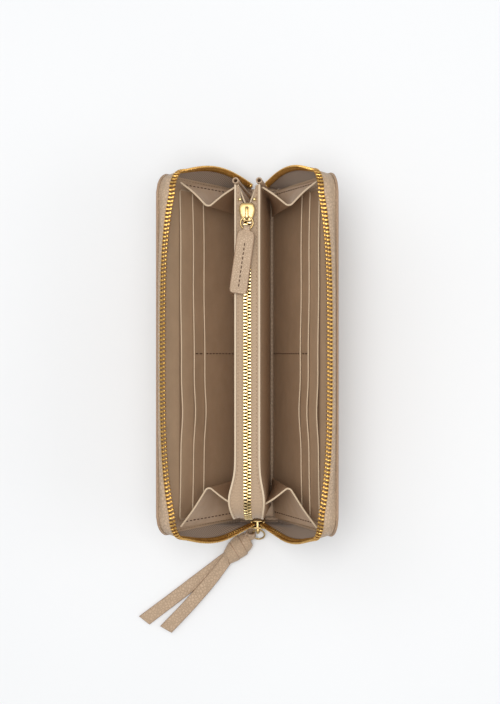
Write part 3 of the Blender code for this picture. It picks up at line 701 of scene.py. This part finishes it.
def tooth_rings(profile, middle, along, across, normal):
    """Sections of a tooth: rectangles with cut corners."""
    rings = []
    for reach, low, high, thick in profile:
        cut = min(0.2, 0.4 * thick, 0.3 * (high - low))
        corners = ((low, thick - cut), (low + cut, thick), (high - cut, thick), (high, thick - cut),
                   (high, cut - thick), (high - cut, -thick), (low + cut, -thick), (low, cut - thick))
        rings.append([middle + across * reach + along * t + normal * n for t, n in corners])
    return rings


def teeth(name, frames, profile, look, side, **options):
    parts = [tube_parts(tooth_rings(profile, m, a, c, n)) for m, a, c, n in zip(*frames[:4])]
    return build(name, gathered(parts), look, side, sharp=35, **options)


def rounded_block(low, high, cut):
    """A small block with chamfered edges, as (points, faces)."""
    (x0, y0, z0), (x1, y1, z1) = low, high
    rings = []
    for z, inset in ((z0, cut), (z0 + cut, 0), (z1 - cut, 0), (z1, cut)):
        a, b, c, d = x0 + inset, x1 - inset, y0 + inset, y1 - inset
        rings.append([(a + cut, c, z), (b - cut, c, z), (b, c + cut, z), (b, d - cut, z),
                      (b - cut, d, z), (a + cut, d, z), (a, d - cut, z), (a, c + cut, z)])
    return tube_parts(rings)


def tuck_front(middle):
    """The foot's tape carried on down, and in under the lining at the spine's end."""
    rows = []
    for y, z in ((-92.5, 1.4), (-94.6, 1.45), (-96.0, 1.9), (-96.9, 3.0)):
        row = middle[0].copy()
        row[:, 0] *= 0.97 - 0.02 * (z - 1.4)
        row[:, 1], row[:, 2] = y, np.minimum(z, row[:, 2] - 0.4)
        rows.append(row)
    rows = np.concatenate([np.array(rows), middle])
    hem = [rows[:, 0] * [1, 0, 1] + [0, y, 0] for y in (-93.6, -95.2)]
    return np.concatenate([np.stack(hem, axis=1), rows], axis=1)


def zip_tail(side, word, sewn, chain):
    """The end of the tape below the top stop: it turns in under the lining at the spine's +Y end."""
    middles, _, across, _, edges = zip_frames(sewn, chain)
    shares = np.linspace(0, 1, 12)
    first = edges[-1] + (middles[-1] - across[-1] * 0.55 - edges[-1]) * shares[:, None]
    rows = [first]
    for drop, y, z in ((0.3, 97.0, 7.0), (0.6, 96.4, 3.6), (0.85, 95.4, 1.8), (1.0, 92.5, 1.4)):
        x = first[:, 0] * (1 - 0.25 * drop) + 0.6 * drop
        y = first[:, 1] + (y - first[:, 1]) * drop ** 0.7
        z = z + (first[:, 2] - first[0, 2]) * (1 - drop) * 0.4
        rows.append(np.stack([x, y, z], -1))
    rows = np.array([curve(np.array(rows)[:, k], 4) for k in range(len(shares))]).transpose(1, 0, 2)
    rim = far_rim(rows)
    rim[:, -1] = 0
    tail = sheet(f"tape_tail_{word}", flip(rows, side), 0.24, ("tape", "bead_painted_shade", "leather"), rim, outside=side,
                 slot="zip_tape")
    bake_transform(tail)


def main_zip(side, word):
    sewn, chain = main_zip_lines()
    foot_sewn, foot_chain = foot_lines(sewn, chain)
    body = f"{word}_cover"
    zip_tape(f"main_tape_{word}", sewn, chain, side, [f"zip_tape_{word}"], body)
    tape = zip_tape(f"foot_tape_{word}", foot_sewn, foot_chain, side, [f"zip_foot_tape_{word}"],
                    tucked=tuck_front)
    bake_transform(tape)
    zip_tail(side, word, sewn, chain)
    top = zip_frames(sewn, chain, MAIN_PITCH, MAIN_PITCH / 2, roll_in)
    teeth(f"main_teeth_{word}", top, MAIN_TOOTH, "antique", side, body=body, slot="antique_brass",
          replaces=[f"zip_teeth_{word}"])
    start = MAIN_PITCH * (0.35 if side < 0 else 0.85)
    low = zip_frames(foot_sewn, foot_chain, MAIN_PITCH, start)
    foot = teeth(f"foot_teeth_{word}", low, MAIN_TOOTH, "antique", side, slot="antique_brass",
                 replaces=[f"zip_foot_teeth_{word}"])
    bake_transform(foot)
    points, faces = rounded_block((7.0, 96.0, 3.2), (10.2, 98.4, 5.6), 0.35)
    build(f"top_stop_{word}", (cover(*points.T), faces), "antique", side, body=body, slot="antique_brass",
          replaces=[f"zip_top_stop_{word}"])


# ---- spine, gussets -----------------------------------------------------------------------------
def strip(name, x, y, z, half, **options):
    """A flat lining strip with painted, rounded edges, lying in XY and riding on the core."""
    grid_x, grid_y = np.meshgrid(spread(*x, 6, 0.6), spread(*y, 30, 0.6), indexing="ij")
    rim = np.minimum(np.minimum(grid_x - x[0], x[1] - grid_x), np.minimum(grid_y - y[0], y[1] - grid_y))
    middle = np.stack([grid_x, grid_y, np.full_like(grid_x, z)], -1)
    sheet(name, middle, half, ("lining", "edge"), rim, 0.1, body="core", slot="lining", **options)


# A gusset's foot and top: (u, v) of its outer edge, x of its ridge, and the size of its fold.
GUSSET_FOOT, GUSSET_TOP = (5.2, 9.0, -8.6, 0.9), (6.0, 84.0, -21.6, 1.2)
# The gussets of one side: which end, and how far along Y their ridge and their coin pocket edge are.
GUSSETS = ((1, 78.2, 88.6), (-1, 70.0, 80.0))


def gusset_path(level, end, ridge_y, coin_y):
    """(x, y) points of a gusset's fold at a level from 0 to 1, and its height."""
    u, v, ridge_x, fold = [a + (b - a) * level for a, b in zip(GUSSET_FOOT, GUSSET_TOP)]
    edge = cover(u, end * (93.2 - 1.8 * level), v)
    ridge = np.array([ridge_x, end * ridge_y])
    outer, inner = edge[:2], np.array([-COIN_HALF - 0.55, end * coin_y])
    to_outer, to_inner = unit(outer - ridge), unit(inner - ridge)
    bulge = 0.8 * np.array([0, end])
    near_outer, near_inner = ridge + to_outer * fold * 1.6, ridge + to_inner * fold * 1.6
    leg_out = curve([outer, outer + (near_outer - outer) * 0.5 + bulge, near_outer], 6)
    nose = ridge + (to_outer + to_inner) * fold * 0.28
    t = np.linspace(0, 1, 8)[1:-1, None]
    nose_curve = near_outer * (1 - t) ** 2 + nose * 2 * t * (1 - t) + near_inner * t**2
    leg_in = curve([near_inner, near_inner + (inner - near_inner) * 0.5 + bulge * 0.6, inner], 5)
    return np.concatenate([leg_out, nose_curve, leg_in]), edge[2]


def gusset(side, word, end, ridge_y, coin_y):
    """A gusset folded once, with painted top edges and a stitched line on its outer leg."""
    place = "back" if end > 0 else "front"
    rows, heights = zip(*[gusset_path(level, end, ridge_y, coin_y) for level in spread(0, 1, 18, 0.012)])
    rows, heights = np.array(rows), np.array(heights)
    middle = np.concatenate([rows, np.broadcast_to(heights[:, None, None], rows.shape[:2] + (1,))], -1)
    rim = np.broadcast_to(np.minimum(heights - heights[0], heights[-1] - heights)[:, None], rows.shape[:2])
    thick = thick_at_edge(0.3, 0.25, heights[-1] - heights, 1.3)[:, None]
    # The gusset look is the lining's darker copy, painted shade.
    piece = sheet(f"fold_gusset_{word}_{place}", flip(middle, side), thick, ("gusset", "edge"), rim, 0.75,
                  slot="lining", replaces=[f"gusset_{word}_{place}"])
    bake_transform(piece)
    normal = normals_of(middle)
    seam = {"length": 2.5, "gap": 2.0, "radius": 0.3, "lift": 0.3}
    rows = [(middle[3:-2, 2], normal[3:-2, 2] * face, seam) for face in (1, -1)]
    thread = stitches(f"gusset_stitches_{word}_{place}", rows, "thread", side)
    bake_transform(thread)


# ---- coin pocket --------------------------------------------------------------------------------
def coin_line(start_y, low_z=68.0, top=CHAIN_Z):
    """(0, y, z) points over the coin pocket: flat along its top, then bending down its closed end."""
    centre = (COIN_FRONT + COIN_BEND, CHAIN_Z - COIN_BEND)
    turns = np.linspace(math.pi / 2, math.pi, 24)
    radius = COIN_BEND + top - CHAIN_Z
    flat = [(0, y, top) for y in np.linspace(start_y, centre[0], 60)[:-1]]
    bend = [(0, centre[0] + radius * math.cos(t), centre[1] + radius * math.sin(t)) for t in turns]
    return np.array(flat + bend + [(0, centre[0] - radius, z) for z in np.linspace(centre[1], low_z, 6)[1:]])


def line_normals(line):
    """Normals of a line over the coin pocket, within the plane x = 0."""
    return unit(np.cross(np.gradient(line, axis=0), [1.0, 0, 0]))


def end_bulge(y, z, side):
    """How far the coin pocket's wall stands out near its closed end, where the folded zip pushes it apart."""
    reach = 3.4 if side < 0 else 2.4
    return reach * np.exp(-(((y + 77) / 10.5) ** 2)) * np.clip((z - 18) / 60, 0, 1) ** 0.8


def flatten_when_shut(piece):
    """Gives a bulging side of the coin pocket a mesh of its own."""
    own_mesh(piece)


def coin_wall(side, word):
    """A leather wall of the coin pocket, bulging a little, with a painted top edge."""
    foot_z, foot_front = 2.4, -86.6
    edge = coin_line(COIN_BACK, foot_z, COIN_TOP)
    spots = measured(edge)
    edge = at(edge, spots, np.linspace(0, spots[-1], 120))
    low = np.stack([edge[:, 0], np.clip(edge[:, 1], foot_front, COIN_BACK), np.full(len(edge), foot_z)], -1)
    depth = np.array([0, 0.004, 0.012, 0.03, 0.06, 0.12, 0.22, 0.35, 0.5, 0.65, 0.8, 0.92, 1.0])
    middle = edge[:, None] + (low - edge)[:, None] * depth[None, :, None]
    y, height = middle[..., 1], middle[..., 2]
    bulge = 0.9 * np.sin(np.clip((height - 8) / 74, 0, 1) * math.pi) * np.clip((88 - np.abs(y)) / 30, 0, 1)
    middle[..., 0] = -(COIN_HALF - COIN_WALL / 2) - 0.2 * bulge - end_bulge(y, height, side)
    rim = np.linalg.norm(middle - edge[:, None], axis=2)
    piece = sheet(f"coin_side_{word}", flip(middle, side), COIN_WALL / 2, ("leather_fine", "edge"), rim, 0.35,
                  body="core", slot="leather", replaces=[f"coin_wall_{word}"])
    flatten_when_shut(piece)


def coin_tape(side, word):
    """The coin zip's tape from its bead out to the wall, dipping a little beside the teeth."""
    bead_x, sewn_x = 1.75, 5.7
    line = stepped(coin_line(88.6, 64.0), 1.2)
    share = np.array([0.0, 0.04, 0.12, 0.22, 0.45, 0.65, 0.85, 1.0])
    dip = np.array([0.0, 0.0, 0.05, 0.2, 0.32, 0.28, 0.12, 0.0])
    thick = np.array([0.3, 0.52, 0.5, 0.25, 0.25, 0.25, 0.25, 0.25])
    outer = sewn_x + end_bulge(line[:, 1], line[:, 2], side)
    inner = bead_x + np.interp(line[:, 1], (78.8, 81.4, 84.0, 88.6), (0, 1.35, 1.75, 2.6))
    across = inner[:, None] + (outer - inner)[:, None] * share[None]
    middle = line[:, None] + np.array([-1.0, 0, 0]) * across[..., None]
    middle = middle + line_normals(line)[:, None] * dip[None, :, None] * -1
    rim = far_rim(middle)
    rim[0], rim[-1] = 0, 0
    sheet(f"coin_zip_tape_{word}", flip(middle, side), thick, "coin_tape", rim, body="core", slot="zip_tape",
          replaces=[f"coin_tape_{word}"])


def coin_zip():
    """The coin zip's tapes, teeth and stops, which all ride on the core."""
    brass = {"body": "core", "slot": "polished_brass"}
    path = coin_line(79.0)
    for side, word in SIDES:
        coin_tape(side, word)
        offset = 0.3 if side < 0 else 0.3 + COIN_PITCH / 2
        frames = zip_frames(path + [-5, 0, 0], path, COIN_PITCH, offset)
        teeth(f"coin_zip_teeth_{word}", frames, COIN_TOOTH, "polished", side, replaces=[f"coin_teeth_{word}"],
              **brass)
        stop = rounded_block((-4.7, 80.6, CHAIN_Z - 1.2), (-2.9, 82.2, CHAIN_Z + 1.3), 0.3)
        build(f"coin_stop_top_{word}", stop, "polished", side, replaces=[f"coin_top_stop_{word}"], **brass)
    stop = rounded_block((-2.2, COIN_FRONT - 1.2, 65.6), (2.2, COIN_FRONT - 0.7, 67.6), 0.2)
    build("coin_stop_bottom", stop, "polished", replaces=["coin_bottom_stop"], **brass)


def coin_closed_end():
    """The wall that closes the pocket under the end of its zip."""
    low, high = 3.5, 70
    z, x = np.meshgrid(spread(low, high, 14, 0.4), spread(-6.2, 6.2, 10, 0.4), indexing="ij")
    inset = 0.6 * np.clip((z - 58) / 8, 0, 1)
    sheet("coin_closed_end", np.stack([x, COIN_FRONT - 0.15 + inset, z], -1), 0.4, ("leather_fine", "edge"),
          np.minimum(z - low, high - z), 0.2, body="core", slot="leather", replaces=["coin_end_wall"])


def coin_fold():
    """The V-folded gusset in the pocket's open end."""
    low, high = 3.6, 88.2
    half_v = [(5.2, 89.3), (3.4, 85.0), (1.6, 80.2), (0.55, 77.3)]
    path = curve([(-x, y) for x, y in half_v] + [(0, 76.3)] + half_v[::-1], 4)
    levels = spread(low, high, 14, 1.2)
    middle = np.stack([np.concatenate([path, np.full((len(path), 1), z)], -1) for z in levels])
    rim = np.broadcast_to(np.minimum(levels - low, high - levels)[:, None], middle.shape[:2])
    thick = thick_at_edge(0.3, 0.28, high - levels, 1.2)[:, None]
    sheet("coin_fold_gusset", middle, thick, ("lining", "edge"), rim, 0.45, body="core", slot="lining",
          replaces=["coin_end_gusset"])


# A rolled binding as (radius, height) sections: up its hollow top, over the rim and down to its foot.
BINDING = ((0.9, 80.0), (0.95, 89.9), (1.1, 90.4), (1.35, 90.6), (1.6, 90.45), (1.7, 90.0),
           (1.68, 60.0), (1.7, 30.0), (1.66, 4.2), (1.4, 3.6))
BINDING_X, BINDING_Y = -6.2, 91.3


def coin_bindings():
    """The rolled bindings that stand at the back end of the pocket's walls."""
    c, s = turned(24)
    for side, word in SIDES:
        sections = []
        for radius, height in BINDING:
            ring = np.stack([BINDING_X + radius * c, BINDING_Y + radius * s, np.full(24, height)], -1)
            sections.append(flip(ring, side))
        tube(f"rolled_binding_{word}", sections, "leather_fine", body="core", slot="leather",
             replaces=[f"coin_binding_{word}"])


def core_stitches():
    """Seams of the pocket's foot, beside both walls, and along its top over the tapes."""
    rows = []
    top = stepped(coin_line(86.0, 60.0), 2.0)
    normal = line_normals(top)
    normal = normal * np.sign(normal[0, 2])
    for side, _ in SIDES:
        foot = np.array([(side * 7.5, y, 2.12) for y in np.linspace(-84, 86, 60)])
        rows.append((foot, (0, 0, 1), {"length": 1.5, "gap": 0.9, "radius": 0.2}))
        path = top.copy()
        path[:, 0] = side * (4.9 + end_bulge(top[:, 1], top[:, 2], side))
        rows.append((path + normal * 0.02, normal, {"length": 1.4, "gap": 0.9, "radius": 0.15}))
    stitches("pocket_stitches", rows, "pale_thread", body="core")


# ---- sliders, rings and pulls -------------------------------------------------------------------
SLIDER_HALF, SLIDER_PLATE = 4.2, 1.1


def plate_outline(length):
    """A slider plate seen flat: broad at its mouth (+Y), narrower and rounded at its tail."""
    shares = ((0.0, 0.5), (0.45, 0.497), (0.8, 0.44), (0.98, 0.28), (1.0, 0.1), (0.9, -0.12), (0.74, -0.32),
              (0.6, -0.45), (0.35, -0.5), (0.0, -0.505))
    right = curve([(SLIDER_HALF * x, length * y) for x, y in shares], 4)
    return np.concatenate([right, (right * [-1, 1])[::-1][1:-1]])


def slider_parts(length, gap):
    """Domed plates, their side flanges and the wedge between them, along +Y with the outer plate up."""
    outline = plate_outline(length)
    inner, outer = gap / 2, gap / 2 + SLIDER_PLATE
    half_way = gap / 2 + SLIDER_PLATE * 0.5
    levels = ((0.93, inner), (0.985, inner + 0.12), (1.0, inner + 0.35), (1.0, outer - 0.45),
              (0.975, outer - 0.18), (0.92, outer - 0.03), (0.7, outer + 0.072), (0.3, outer + 0.162))
    parts = []
    for sign in (-1, 1):
        rings = [np.concatenate([outline * share, np.full((len(outline), 1), sign * z)], -1)[::sign]
                 for share, z in levels]
        parts.append(tube_parts(rings))
        for flank in (-1, 1):
            rings = []
            for y in np.linspace(-0.46, 0.34, 9):
                edge = np.interp(y, (-0.46, -0.2, 0.1, 0.34), (0.6, 0.8, 0.98, 0.93)) * SLIDER_HALF
                section = [(edge, 1.1), (edge - 0.7, 1.1), (edge - 0.7, half_way), (edge, half_way)]
                rings.append([(flank * x, y * length, sign * z) for x, z in section])
            parts.append(tube_parts(rings))
    wedge = [(-0.45, 0.44), (0.45, 0.44), (0.3, 0.2), (0.1, 0.03), (-0.1, 0.03), (-0.3, 0.2)]
    parts.append(tube_parts([[(x, y * length, z) for x, y in wedge] for z in (-half_way, half_way)]))
    return parts


def bridge_parts(length, base, rise, half=0.85, bar=0.95):
    """The arch on the outer plate, swept with rounded edges, that the ring hangs from."""
    front, back = -0.42 * length + bar / 2, 0.30 * length - bar / 2
    top, middle = base + rise - bar / 2, base + rise * 0.45
    path = curve([(front, base - 0.5), (front + 0.02, middle), (front + 0.5, top - 0.25), (front + 1.5, top),
                  (back - 1.5, top), (back - 0.5, top - 0.25), (back - 0.02, middle), (back, base - 0.5)], 6)
    slope = unit(np.gradient(path, axis=0))
    c, s = turned(12, math.pi / 12)
    flat_c, flat_s = np.sign(c) * np.abs(c) ** 0.6, np.sign(s) * np.abs(s) ** 0.6
    return tube_parts([np.stack([half * flat_c, y - tz * bar / 2 * flat_s, z + ty * bar / 2 * flat_s], -1)
                       for (y, z), (ty, tz) in zip(path, slope)])


def slider(name, body, replaces, place, length, gap, base, rise):
    """A slider with its bridge, put in its place by a function of its points."""
    points, faces = gathered(slider_parts(length, gap) + [bridge_parts(length, base, rise)])
    build(name, (place(points), faces), "slider", body=body, slot="polished_brass", replaces=[replaces],
          sharp=40)


def pull_ring(name, body, replaces, centre, along, radius, wire):
    ring = wire_ring(centre, (1, 0, 0), along, radius, wire)
    tube(name, ring, "slider", closed=True, body=body, slot="polished_brass", replaces=[replaces])


def coin_slider():
    slider("coin_zip_slider", "coin_slider", "coin_slider", lambda p: p + [0, COIN_SLIDER_Y, CHAIN_Z],
           length=9.8, gap=2.7, base=2.45, rise=2.7)
    pivot, radius = np.array([0, COIN_SLIDER_Y - 2.4, CHAIN_Z + 3.4]), 3.3
    pull_ring("coin_ring_wire", "coin_ring", "coin_pull_ring", pivot - [0, radius, 0], (0, 1, 0), radius,
              wire=0.45)
    coin_tab(pivot - [0, 2 * radius, 0])


def ribbon(name, path, width_dir, half_width, thick, looks, paint, **options):
    """A leather strip along a path, with half its width at each of the path's points."""
    b = spread(-1, 1, 8, 0.22)
    middle = path[:, None] + width_dir * (half_width[:, None] * b[None])[..., None]
    spots = measured(path)
    ends = np.minimum(spots, spots[-1] - spots)[:, None]
    rim = np.minimum(half_width[:, None] * (1 - np.abs(b))[None], ends)
    sheet(name, middle, thick, looks, rim, paint, **options)


def coin_tab(eye):
    """A strip of leather folded through the ring and sewn to itself down its middle."""
    lean = math.radians(8.0)
    across = np.array([math.cos(lean), -math.sin(lean), 0])
    down = np.array([-math.sin(lean), -math.cos(lean), 0])
    length, full = 34.0, 4.7
    top = [(length - y, z) for y, z in ((0, 0.58), (0.15, 0.58), (0.4, 0.58), (1.0, 0.59), (2.2, 0.6))]
    top += [(y, 0.62) for y in np.linspace(length - 4, 9, 18)] + [(7, 0.64), (5.4, 0.68), (4.4, 0.76)]
    top += [(3.6, 0.88), (3.0, 1.02), (2.5, 1.15), (2.1, 1.28), (1.7, 1.42), (1.3, 1.58)]
    loop = [(1.72 * math.cos(t), 1.72 * math.sin(t)) for t in np.radians(np.linspace(55, 305, 16))]
    path = np.array(top + loop + [(y, -z) for y, z in top[::-1]])
    y = path[:, 0]
    stops = (-2, 0.7, 1.2, 1.8, 2.6, 3.8, length - 2.2, length - 1.0, length - 0.4, length - 0.15, length)
    halves = (1.7, 1.9, 3.5, 4.1, 4.45, 4.65, full, full - 0.35, full - 0.9, full - 1.3, full - 1.9)
    points, width = eye + down * y[:, None] + UP * path[:, 1:], np.interp(y, stops, halves)
    ribbon("pull_tab_leather", points, across, width, 0.55, ("leather_small", "dark_edge"), 0.3,
           body="coin_tab", slot="leather", replaces=["coin_pull_tab"])
    line = eye + down * np.linspace(7.0, length - 3.2, 30)[:, None]
    seam = {"length": 1.5, "gap": 0.8, "radius": 0.26}
    rows = [(line + UP * sign * (0.61 + 0.55), UP * sign, seam) for sign in (1, -1)]
    stitches("pull_tab_stitches", rows, "thread", body="coin_tab")


# The main ring hangs from its pivot along RING_DROP.
RING_DROP = np.array([0, -0.8, -0.6])
RING_RADIUS = 3.5
RING_CENTRE = np.array([0, -CHAIN_END_Y - 3.75, MAIN_SLIDER_Z - 1.6]) + RING_DROP * RING_RADIUS


def main_slider():
    slider("main_zip_slider", "zip_slider", "zip_slider",
           lambda p: np.stack([p[:, 0], -CHAIN_END_Y - p[:, 2], MAIN_SLIDER_Z + p[:, 1]], -1),
           length=10.0, gap=2.9, base=2.55, rise=3.1)
    pull_ring("main_ring_wire", "zip_ring", "zip_pull_ring", RING_CENTRE, RING_DROP, RING_RADIUS, wire=0.5)
    stop = rounded_block((-2.6, -98.4, 1.6), (2.6, -97.4, 4.4), 0.3)
    build("main_stop_bottom", stop, "antique", body="core", slot="antique_brass",
          replaces=["zip_bottom_stop"])


# ---- the strap ----------------------------------------------------------------------------------
KNOT = np.array([-11.8, -111.6, 4.6])
KNOT_ALONG = unit(np.array([-0.72, -0.69, 0.0]))
KNOT_ACROSS = np.array([-KNOT_ALONG[1], KNOT_ALONG[0], 0])
KNOT_HALF, KNOT_WIDE, KNOT_HIGH = 9.2, 5.6, 4.4
NECK = np.array([-6.7, -104.4, 5.9])
STRAP = {"body": "zip_strap", "slot": "leather"}
STRAP_LOOKS = ("leather_strap", "dark_edge")
# Each turn's place along the knot, its tilt, half width, lift and phase.
WRAPS = ((-0.58, 0.16, 3.1, 0.0, 0.5), (0.66, 0.16, 3.3, 0.0, 0.7), (0.04, 0.17, 3.5, 0.02, 0.6))
TAIL_THICK = 0.72
TIP_ROWS = (1.0, 0.6, 0.35, 0.18, 0.06, 0.0)
TAILS = (
    ("strap_tail_low", ((-14, -113.5, 3.4), (-19.5, -118.0, 1.5), (-32, -128.0, 0.86), (-49, -141.2, 0.85),
                        (-68.0, -155.6, 0.9))),
    ("strap_tail_top", ((-14, -113.5, 4.8), (-18.5, -118.6, 3.9), (-27.4, -130.2, 2.75), (-40.6, -145.4, 2.5),
                        (-55.0, -160.6, 2.3))),
)


def knot_radius(share):
    """The knot's radius, as a share of its greatest, at a share of its half length from its middle."""
    places = (-1, -0.8, -0.5, -0.15, 0.2, 0.6, 1, 1.25)
    return np.interp(share, places, (0.44, 0.7, 0.9, 0.98, 0.95, 0.8, 0.62, 0.5))


def knot():
    """The body of the knot, under its turns."""
    c, s = turned(28)
    sections = []
    for share in (-1, -0.8, -0.55, -0.2, 0.2, 0.55, 0.8, 1.0):
        radius = knot_radius(share) - 0.05
        middle = NECK if share == -1 else KNOT + KNOT_ALONG * share * KNOT_HALF
        wide, high = KNOT_ACROSS * (c * radius * KNOT_WIDE)[:, None], UP * (s * radius * KNOT_HIGH)[:, None]
        sections.append(middle + wide + high)
    tube("strap_knot", sections, "leather_strap", replaces=["zip_pull_strap"], **STRAP)


def wrap(name, centre, tilt, width, lift, sway):
    """One flat turn of the strap round the knot, tilted along it."""
    turns = np.arange(49) * 2 * math.pi / 48
    shares = centre + tilt * np.cos(turns + sway)
    widths = spread(-1, 1, 6, 0.25)
    share = shares[:, None] + widths[None] * width / KNOT_HALF
    radius = knot_radius(share) + lift - 0.05 * widths[None]
    around = KNOT_ACROSS * np.cos(turns)[:, None] * KNOT_WIDE + UP * np.sin(turns)[:, None] * KNOT_HIGH
    middle = KNOT + KNOT_ALONG * (share * KNOT_HALF)[..., None] + around[:, None] * radius[..., None]
    middle[..., 2] = np.maximum(middle[..., 2], 0.65)
    rim = np.broadcast_to((1 - np.abs(widths)) * width, middle.shape[:2])
    sheet(name, middle, 0.5, STRAP_LOOKS, rim, 0.2, **STRAP)


def strap_loop():
    """The strap's fold through the ring, both of its ends running into the knot's neck."""
    outward = np.array([-1.0, 0, 0])
    other = np.cross(outward, RING_DROP)
    turns = np.radians(np.linspace(-160, 160, 33))
    around = outward * -np.cos(turns)[:, None] + other * np.sin(turns)[:, None]
    path = RING_CENTRE + [-4.4, 0, 0] + around * 2.2
    path = curve(np.concatenate([[NECK + [-2.0, -2.0, -0.9]], path, [NECK + [-2.0, -2.0, 0.9]]]), 3)
    width = np.interp(np.linspace(0, 1, len(path)), (0, 0.2, 0.5, 0.8, 1), (2.5, 2.3, 1.9, 2.3, 2.5))
    ribbon("strap_loop", path, RING_DROP, width, 0.55, STRAP_LOOKS, 0.25, **STRAP)


def strap_tail(name, points):
    """A tail lying out from the knot, a little crowned, its tip cut at a slant."""
    path = curve(points, 12)
    spots = measured(path)
    path = at(path, spots, np.append(np.linspace(0, spots[-1] - 1.6, 46), spots[-1] - np.array(TIP_ROWS)))
    heading = unit(np.gradient(path, axis=0))
    across = unit(np.cross(UP, heading))
    width = np.interp(np.linspace(0, 1, len(path)), (0, 0.12, 0.4, 1), (2.6, 3.2, 3.6, 3.75))
    b = spread(-1, 1, 8, 0.2)
    spots = measured(path)
    slant = np.clip((spots - spots[-1] + 14) / 14, 0, 1)
    middle = path[:, None] + across[:, None] * (width[:, None] * b)[..., None]
    middle = middle - heading[:, None] * (slant[:, None] * (b + 1))[..., None]
    middle[..., 2] += 0.15 * (1 - b**2)
    ends = np.minimum(spots + 1, spots[-1] - spots)[:, None]
    rim = np.minimum(width[:, None] * (1 - np.abs(b))[None], ends)
    sheet(name, middle, TAIL_THICK, STRAP_LOOKS, rim, 0.2, **STRAP)


def strap():
    """The strap: looped through the ring, wound into a knot, its two tails lying on the surface."""
    knot()
    for k, turn in enumerate(WRAPS):
        wrap(f"strap_wrap_{k + 1}", *turn)
    strap_loop()
    for name, points in TAILS:
        strap_tail(name, points)


# ---- stage --------------------------------------------------------------------------------------
WORLD_LIGHT = 0.5
# Each light's name, place and size in metres, and power in watts.
SOFT_LIGHTS = (
    ("softbox_top", (0.02, 0.02, 1.5), (0.62, 0.62), 13.0),
    ("softbox_high", (-0.4, 0.45, 1.2), (0.8, 0.8), 2.5),
    ("softbox_side", (0.9, -0.1, 0.9), (0.6, 0.6), 1.5),
)
CAMERA_PLACE, CAMERA_BACKWARD = (0.065, 0.0, 0.923), (0.0763, -0.0016, 1.0)
CAMERA_LENS, CAMERA_SENSOR = 81.5, 36.0
FLOOR_SIZE, FLOOR_Z = 4, -0.0003


def stage():
    bpy.ops.mesh.primitive_plane_add(size=FLOOR_SIZE, location=(0, 0, FLOOR_Z))
    floor = bpy.context.object
    floor.name = "floor"
    paint = Look("studio_floor", 0.9, specular=0.1)
    greys = ((0.3, (0.80, 0.805, 0.81)), (0.7, (0.82, 0.825, 0.83)))
    floor.data.materials.append(paint.finish(paint.ramp(paint.noise(paint.place(300), 1.0, 1.0), greys)))
    world = bpy.data.worlds.new("studio")
    world.use_nodes = True
    world.node_tree.nodes["Background"].inputs["Color"].default_value = (0.97, 0.985, 1.0, 1)
    world.node_tree.nodes["Background"].inputs["Strength"].default_value = WORLD_LIGHT
    bpy.context.scene.world = world
    for name, place, size, power in SOFT_LIGHTS:
        light = bpy.data.lights.new(name, "AREA")
        light.shape = "RECTANGLE"
        light.size, light.size_y = size
        light.energy = power
        obj = bpy.data.objects.new(name, light)
        obj.location = place
        aim = (Vector((0, 0, 0.03)) - Vector(place)).to_track_quat("-Z", "Y")
        obj.rotation_euler = aim.to_euler()
        bpy.context.scene.collection.objects.link(obj)


def camera():
    data = bpy.data.cameras.new("camera")
    data.lens = CAMERA_LENS
    data.sensor_width = CAMERA_SENSOR
    obj = bpy.data.objects.new("camera", data)
    backward = Vector(CAMERA_BACKWARD).normalized()
    right = Vector((0, 1, 0)).cross(backward).normalized()
    matrix = Matrix((right, backward.cross(right), backward)).transposed().to_4x4()
    matrix.translation = Vector(CAMERA_PLACE)
    obj.matrix_world = matrix
    bpy.context.scene.collection.objects.link(obj)
    bpy.context.scene.camera = obj


def main():
    camera()
    stage()
    for side, word in SIDES:
        outer_leather(side, word)
        cover_lining(side, word)
        pockets(side, word)
        cover_stitches(side, word)
        main_zip(side, word)
        for end, ridge_y, coin_y in GUSSETS:
            gusset(side, word, end, ridge_y, coin_y)
        coin_wall(side, word)
        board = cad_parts[f"cover_{word}_board"]
        board.data.materials.clear()
        board.data.materials.append(LOOKS["board"])
    strip("spine_lining_strip", (-8.5, 8.5), (-93, 93), 1.8, 0.3, replaces=["spine_lining"])
    coin_zip()
    coin_closed_end()
    coin_fold()
    strip("coin_base", (-5.5, 5.5), (-86, 88), 2.8, 0.4, replaces=["coin_floor"])
    coin_bindings()
    core_stitches()
    coin_slider()
    main_slider()
    strap()


main()
bpy.context.scene.view_settings.view_transform = "Standard"
